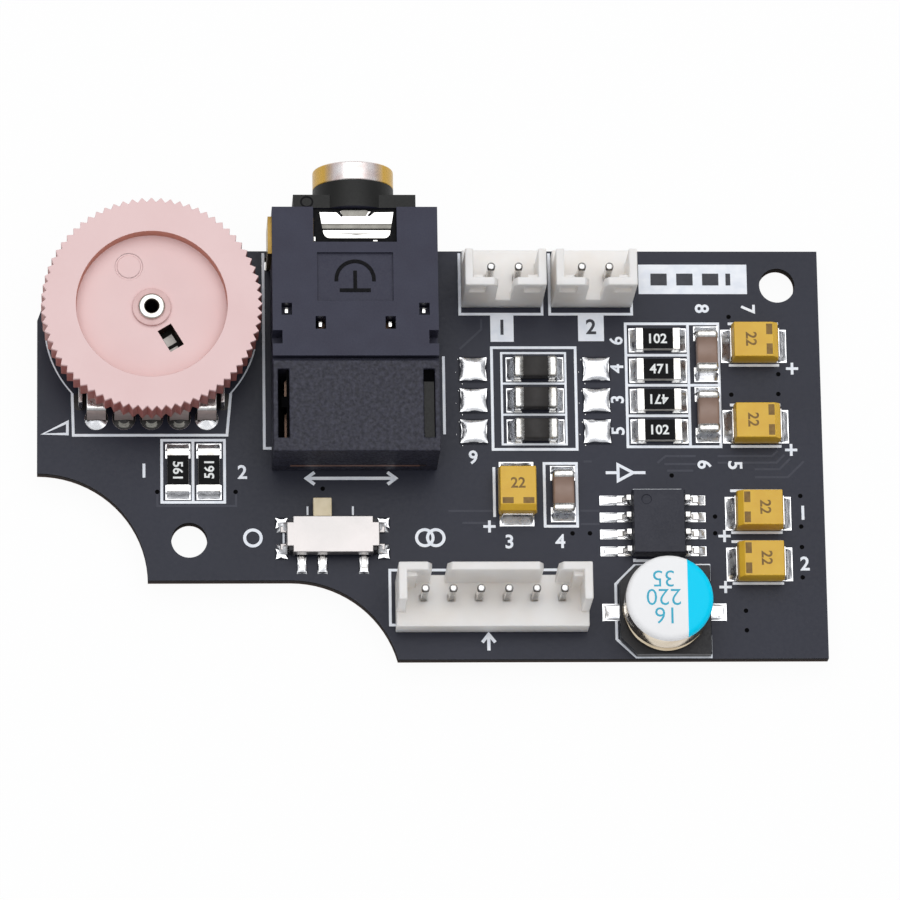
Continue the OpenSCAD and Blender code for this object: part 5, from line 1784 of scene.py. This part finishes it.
@dataclass
class ChipParts(SubAssembly):
    """Resistors, beads and ceramic capacitors: a fired block with a dipped cap over each end.

    The caps of beads and ceramic capacitors have a length and a radius of rounding.
    """

    cap: float = 0.5
    bead_cap: Pair = (0.7, 0.2)
    ceramic_cap: Pair = (0.62, 0.3)
    skin: float = 0.03
    corner: float = 7
    value_h: float = 0.75
    values: tuple[tuple[str, float], ...] = (
        ("561", -90), ("561", 90), ("471", 180), ("471", 0), ("102", 0), ("102", 0))

    def build(self) -> None:
        """Makes each part and prints the resistors, whose values have a direction in degrees."""
        for number in RESISTORS:
            self.flat_part(f"resistor_{number}")
        for number in BEADS:
            self.dipped_part(f"ferrite_bead_{number}", FERRITE, *self.bead_cap)
        for number in CERAMICS:
            self.dipped_part(f"ceramic_capacitor_{number}", CERAMIC, *self.ceramic_cap)
        marks = []
        for number, (value, turn) in zip(RESISTORS, self.values):
            low, high = self.board.node_box(f"resistor_{number}")
            x, y, _ = (low + high) / 2
            marks.append(lettering(value, self.value_h, turn).moved(x, y, high[2] - 0.015))
        self.shop.piece("resistor_numbers", joined(marks), PALE_INK, smooth=False)

    def flat_part(self, node: str) -> None:
        """A resistor: black glaze on top of white ceramic, and plated ends.

        Args:
            node: The CAD node that it replaces.
        """
        low, high = self.board.node_box(node)
        size, middle = (high - low) / 2, (high + low) / 2
        axis = 0 if size[0] > size[1] else 1
        inner = size[axis] - self.cap - 0.01
        made = self.shop.softened(node, 0.05, GLAZE, segments=3)
        self.shop.paint(made, ALUMINA, lambda at, normal: np.abs(normal[:, 2]) < UPRIGHT)
        self.shop.paint(made, CAP_TIN, lambda at, normal: np.abs(at[:, axis] - middle[axis]) > inner)

    def dipped_part(self, node: str, body: Finish, cap: float, rounding: float) -> None:
        """A bead or ceramic capacitor: a block tumbled until its edges are round, with dipped ends.

        Args:
            node: The CAD node that it replaces.
            body: The finish between the caps.
            cap: Length of a cap.
            rounding: Radius of the ends.
        """
        low, high = self.board.node_box(node)
        size, middle = (high - low) / 2, (high + low) / 2
        axis = 0 if size[0] > size[1] else 1
        reach, wide, tall, n = size[axis], size[1 - axis], size[2], self.corner
        inner, thin_w, thin_h = reach - cap, wide - self.skin, tall - self.skin
        start = rounded_end(reach, -1, wide, tall, rounding, n)[::-1]
        end = rounded_end(reach, 1, wide, tall, rounding, n)
        step = [(-inner - 0.01, wide, tall, n), (-inner, thin_w, thin_h, n),
                (inner, thin_w, thin_h, n), (inner + 0.01, wide, tall, n)]
        block = bar([*start, *step, *end], 40).turned(90 if axis else 0)
        made = self.shop.piece(f"{node}_dipped", block.moved(*middle), body, replaces=(node,), closed=True)
        self.shop.paint(made, CAP_TIN, lambda at, normal: np.abs(at[:, axis] - middle[axis]) > inner)


@dataclass
class MouldedCapacitors(SubAssembly):
    """Yellow moulded capacitors with a plus bar, a plain number and folded terminals."""

    value: str = "22"
    value_h: float = 0.8
    plus_ends: tuple[Turn, ...] = (Turn.LEFT, Turn.LEFT, Turn.FRONT, Turn.RIGHT, Turn.RIGHT)
    plus_bars: tuple[Corners, ...] = ((0.75, 0.35, 1.2, 1.15), (0.75, -1.15, 1.2, -0.35))

    def build(self) -> None:
        """Makes the bodies and terminals, and burns in the marks."""
        marks = []
        for number, turn in zip(MOULDED, self.plus_ends):
            node = f"moulded_capacitor_{number}"
            self.shop.softened(node, 0.06, YELLOW)
            self.shop.softened(f"moulded_terminals_{number}", 0.04, TINNED_BRASS)
            low, high = self.board.node_box(node)
            x, y, _ = (low + high) / 2
            bars = [panel(*corners) for corners in self.plus_bars]
            value = lettering(self.value, self.value_h, -90 if turn is Turn.RIGHT else 90).moved(-0.35, 0)
            marks.append(joined([*bars, value]).turned(turn.value).moved(x, y, high[2] + 0.006))
        self.shop.piece("capacitor_marks", joined(marks), BURNT, smooth=False)


@dataclass
class Amplifier(SubAssembly):
    """The amplifier chip: a moulded body with eight formed leads."""

    def build(self) -> None:
        """Makes the body and the leads."""
        self.shop.softened("amplifier_chip", 0.05, EPOXY)
        self.shop.softened("amplifier_leads", 0.05, TINNED_BRASS)


@dataclass
class CanCapacitor(SubAssembly):
    """The can capacitor: a drawn can crimped over its seal, on a black base."""

    radius: float = 3.15
    segment_x: float = 1.28
    bend_r: float = 0.45
    crimp_at: float = 0.8
    crimp_depth: float = 0.25
    value_h: float = 1.2
    value_x: float = -0.45
    value_thin: float = -0.004
    values: tuple[tuple[str, float], ...] = (("35", 1.36), ("220", 0.0), ("16", -1.36))

    def build(self) -> None:
        """Makes the can, its base and its print, whose rows each have a place along Y."""
        shop = self.shop
        x, y, _ = self.board.node_middle("can_shell")
        top = self.board.node_box("can_shell")[1][2]
        edge = float(self.board.origin[0]) / MM + x + self.segment_x
        coating = CanCoating("aluminium_coated_drawn", "can_aluminium", "#fafafa", "#f3f2f2", (0.3, 0.42),
                             patch=5.0, grain=0.3, relief=0.002, specular=0.12, print_from=edge)
        made = shop.piece("can_drawn", self.can().moved(x, y), coating, replaces=("can_shell",), closed=True)
        shop.paint(made, CAN_SIDE, lambda at, normal: at[:, 2] < top - self.bend_r)
        shop.softened("can_base", 0.06, BLACK)
        shop.dress_node("can_leads", TINNED_BRASS)
        rows = [lettering(body, self.value_h, 180, self.value_thin).moved(0, at) for body, at in self.values]
        numbers = joined(rows).moved(x + self.value_x, y, top + 0.006)
        shop.piece("can_numbers", numbers, BLUE_INK, smooth=False)

    def can(self) -> Shape:
        """The can's profile: a foot, the crimp above the seal, a straight wall and a rounded top.

        The crimp goes in as a bell curve of the height.

        Returns:
            The can's closed skin.
        """
        low, high = self.board.node_box("can_shell")
        base, top, r, b = low[2], high[2], self.radius, self.bend_r
        crimp = base + self.crimp_at
        heights = np.linspace(base + 0.2, crimp + 0.6, 13)
        wall = [(r - self.crimp_depth * math.exp(-(((z - crimp) / 0.2) ** 2)), z) for z in heights]
        bend = [(r - b + b * math.cos(a), top - b + b * math.sin(a)) for a in np.linspace(0, math.pi / 2, 8)]
        foot = [(0, base), (r - 0.2, base), (r - 0.06, base + 0.06)]
        return lathe([*foot, *wall, *bend, (r - 0.9, top), (0, top)], 96)


# Studio


@dataclass
class Studio:
    """A pale floor, soft light and the camera at the photograph's angle."""

    board: BoardFrame
    floor_half: float = 3.0
    floor_tones: tuple[str, str] = ("#fbfbfb", "#f7f7f7")
    sky: str = "#f6f8fc"
    camera_at: Triple = (-24.1, -119.45, 450.0)
    camera_turn: Triple = (14.899, -3.132, -0.055)
    focal_pixels: float = 6411.8
    image_pixels: int = 900
    sensor: float = 36.0
    dim: float = 0.12
    rise: float = 0.85
    lamp_at: Triple = (10.0, 140.0, 480.0)
    lamp_power: float = 1.5
    lamp_size: float = 0.6
    white_share: float = 0.95

    def build(self) -> None:
        """Makes the floor, the world, the lamp and the camera."""
        self.floor()
        self.world()
        self.lamp()
        self.camera()

    def floor(self) -> None:
        """A large pale floor under the lead tips, which nears white to the camera and in metal."""
        side = self.floor_half
        mesh = bpy.data.meshes.new("studio_floor")
        corners = [(-side, -side, 0), (side, -side, 0), (side, side, 0), (-side, side, 0)]
        mesh.from_pydata(corners, [], [(0, 1, 2, 3)])
        # Matt white paper scatters light evenly, and its fibres make it hardly uneven.
        paper = bpy.data.materials.new("paper_white_matt")
        paper.use_nodes = True
        tree = paper.node_tree
        where = add(tree, "ShaderNodeTexCoord").outputs["Object"]
        fibre = add(tree, "ShaderNodeTexNoise", {"Vector": where, "Scale": 1 / (2 * MM), "Detail": 2.0})
        pattern = Pattern(tree, where, fibre.outputs["Fac"])
        tone = pattern.layered(self.floor_tones[0], (pattern.wide, self.floor_tones[1]))
        shader = tree.nodes["Principled BSDF"]
        feed(tree, shader, {"Base Color": tone, "Roughness": 0.9, "Specular IOR Level": 0.0})
        rays = add(tree, "ShaderNodeLightPath").outputs
        seen = rays["Is Camera Ray"]
        for kind in ("Is Glossy Ray", "Is Transmission Ray"):
            seen = add(tree, "ShaderNodeMath", {0: seen, 1: rays[kind]}, operation="MAXIMUM").outputs[0]
        share = add(tree, "ShaderNodeMath", {0: seen, 1: self.white_share}, operation="MULTIPLY").outputs[0]
        white = add(tree, "ShaderNodeEmission", {"Strength": 1.0}).outputs[0]
        both = add(tree, "ShaderNodeMixShader", {0: share, 1: shader.outputs[0], 2: white})
        feed(tree, tree.nodes["Material Output"], {"Surface": both.outputs[0]})
        mesh.materials.append(paper)
        linked("studio_floor", mesh)

    def world(self) -> None:
        """A surround that is bright overhead, dim lower down and pale along the horizon.

        For a direction of height z its strength is dim + rise * z * z, and 1 where z is under 0.1.
        """
        world = bpy.data.worlds.new("studio_world")
        bpy.context.scene.world = world
        world.use_nodes = True
        tree = world.node_tree
        where = add(tree, "ShaderNodeTexCoord").outputs["Generated"]
        z = add(tree, "ShaderNodeSeparateXYZ", {"Vector": where}).outputs["Z"]
        square = add(tree, "ShaderNodeMath", {0: z, 1: z}, operation="MULTIPLY").outputs[0]
        sky = add(tree, "ShaderNodeMapRange", {
            "Value": square, "To Min": self.dim, "To Max": self.dim + self.rise})
        band = add(tree, "ShaderNodeMapRange", {
            "Value": square, "From Min": 0.01, "From Max": 0.02, "To Min": 1.0, "To Max": 0.0})
        level = add(tree, "ShaderNodeMath", {0: sky.outputs[0], 1: band.outputs[0]}, operation="MAXIMUM")
        feed(tree, tree.nodes["Background"], {"Color": srgb(self.sky), "Strength": level.outputs[0]})

    def lamp(self) -> None:
        """A broad soft box above and behind the board, which its flat faces mirror to the camera."""
        data = bpy.data.lights.new("soft_box", "AREA")
        data.energy = self.lamp_power
        data.size = self.lamp_size
        lamp = linked("soft_box", data)
        lamp.location = self.board.to_row(np.array(self.lamp_at))
        lamp.rotation_euler = direction_turn(-np.array(lamp.location))

    def camera(self) -> None:
        """The camera: its place, turn and lens were worked out from the board's corners and parts."""
        data = bpy.data.cameras.new("photo_camera")
        data.sensor_width = self.sensor
        data.lens = self.focal_pixels / self.image_pixels * self.sensor
        data.clip_start = 0.01
        data.clip_end = 20.0
        camera = linked("photo_camera", data)
        camera.location = self.board.to_row(np.array(self.camera_at))
        camera.rotation_mode = "ZYX"
        camera.rotation_euler = [math.radians(v) for v in self.camera_turn]
        bpy.context.scene.camera = camera


def direction_turn(aim: np.ndarray) -> Triple:
    """The XYZ turn that points an object's -Z axis along a direction."""
    x, y, z = aim / np.linalg.norm(aim)
    return math.acos(-z), 0.0, math.atan2(y, x) - math.pi / 2


def main() -> None:
    logging.basicConfig(level=logging.INFO, format="%(name)s: %(message)s")
    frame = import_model()
    bpy.context.scene.view_settings.view_transform = "Standard"
    shop = Workshop(BoardFrame.from_pack(), frame["nodes"])
    for group in (CircuitBoard, BoardPrint, Solder, VolumeControl, HeadphoneJack, PinHeaders, SlideSwitch,
                  ChipParts, MouldedCapacitors, Amplifier, CanCapacitor):
        group(shop).build()
        log.info("%s is built", group.__name__)
    Studio(shop.board).build()
    log.info("%d pieces made", len(shop.made))


if __name__ == "__main__":
    main()
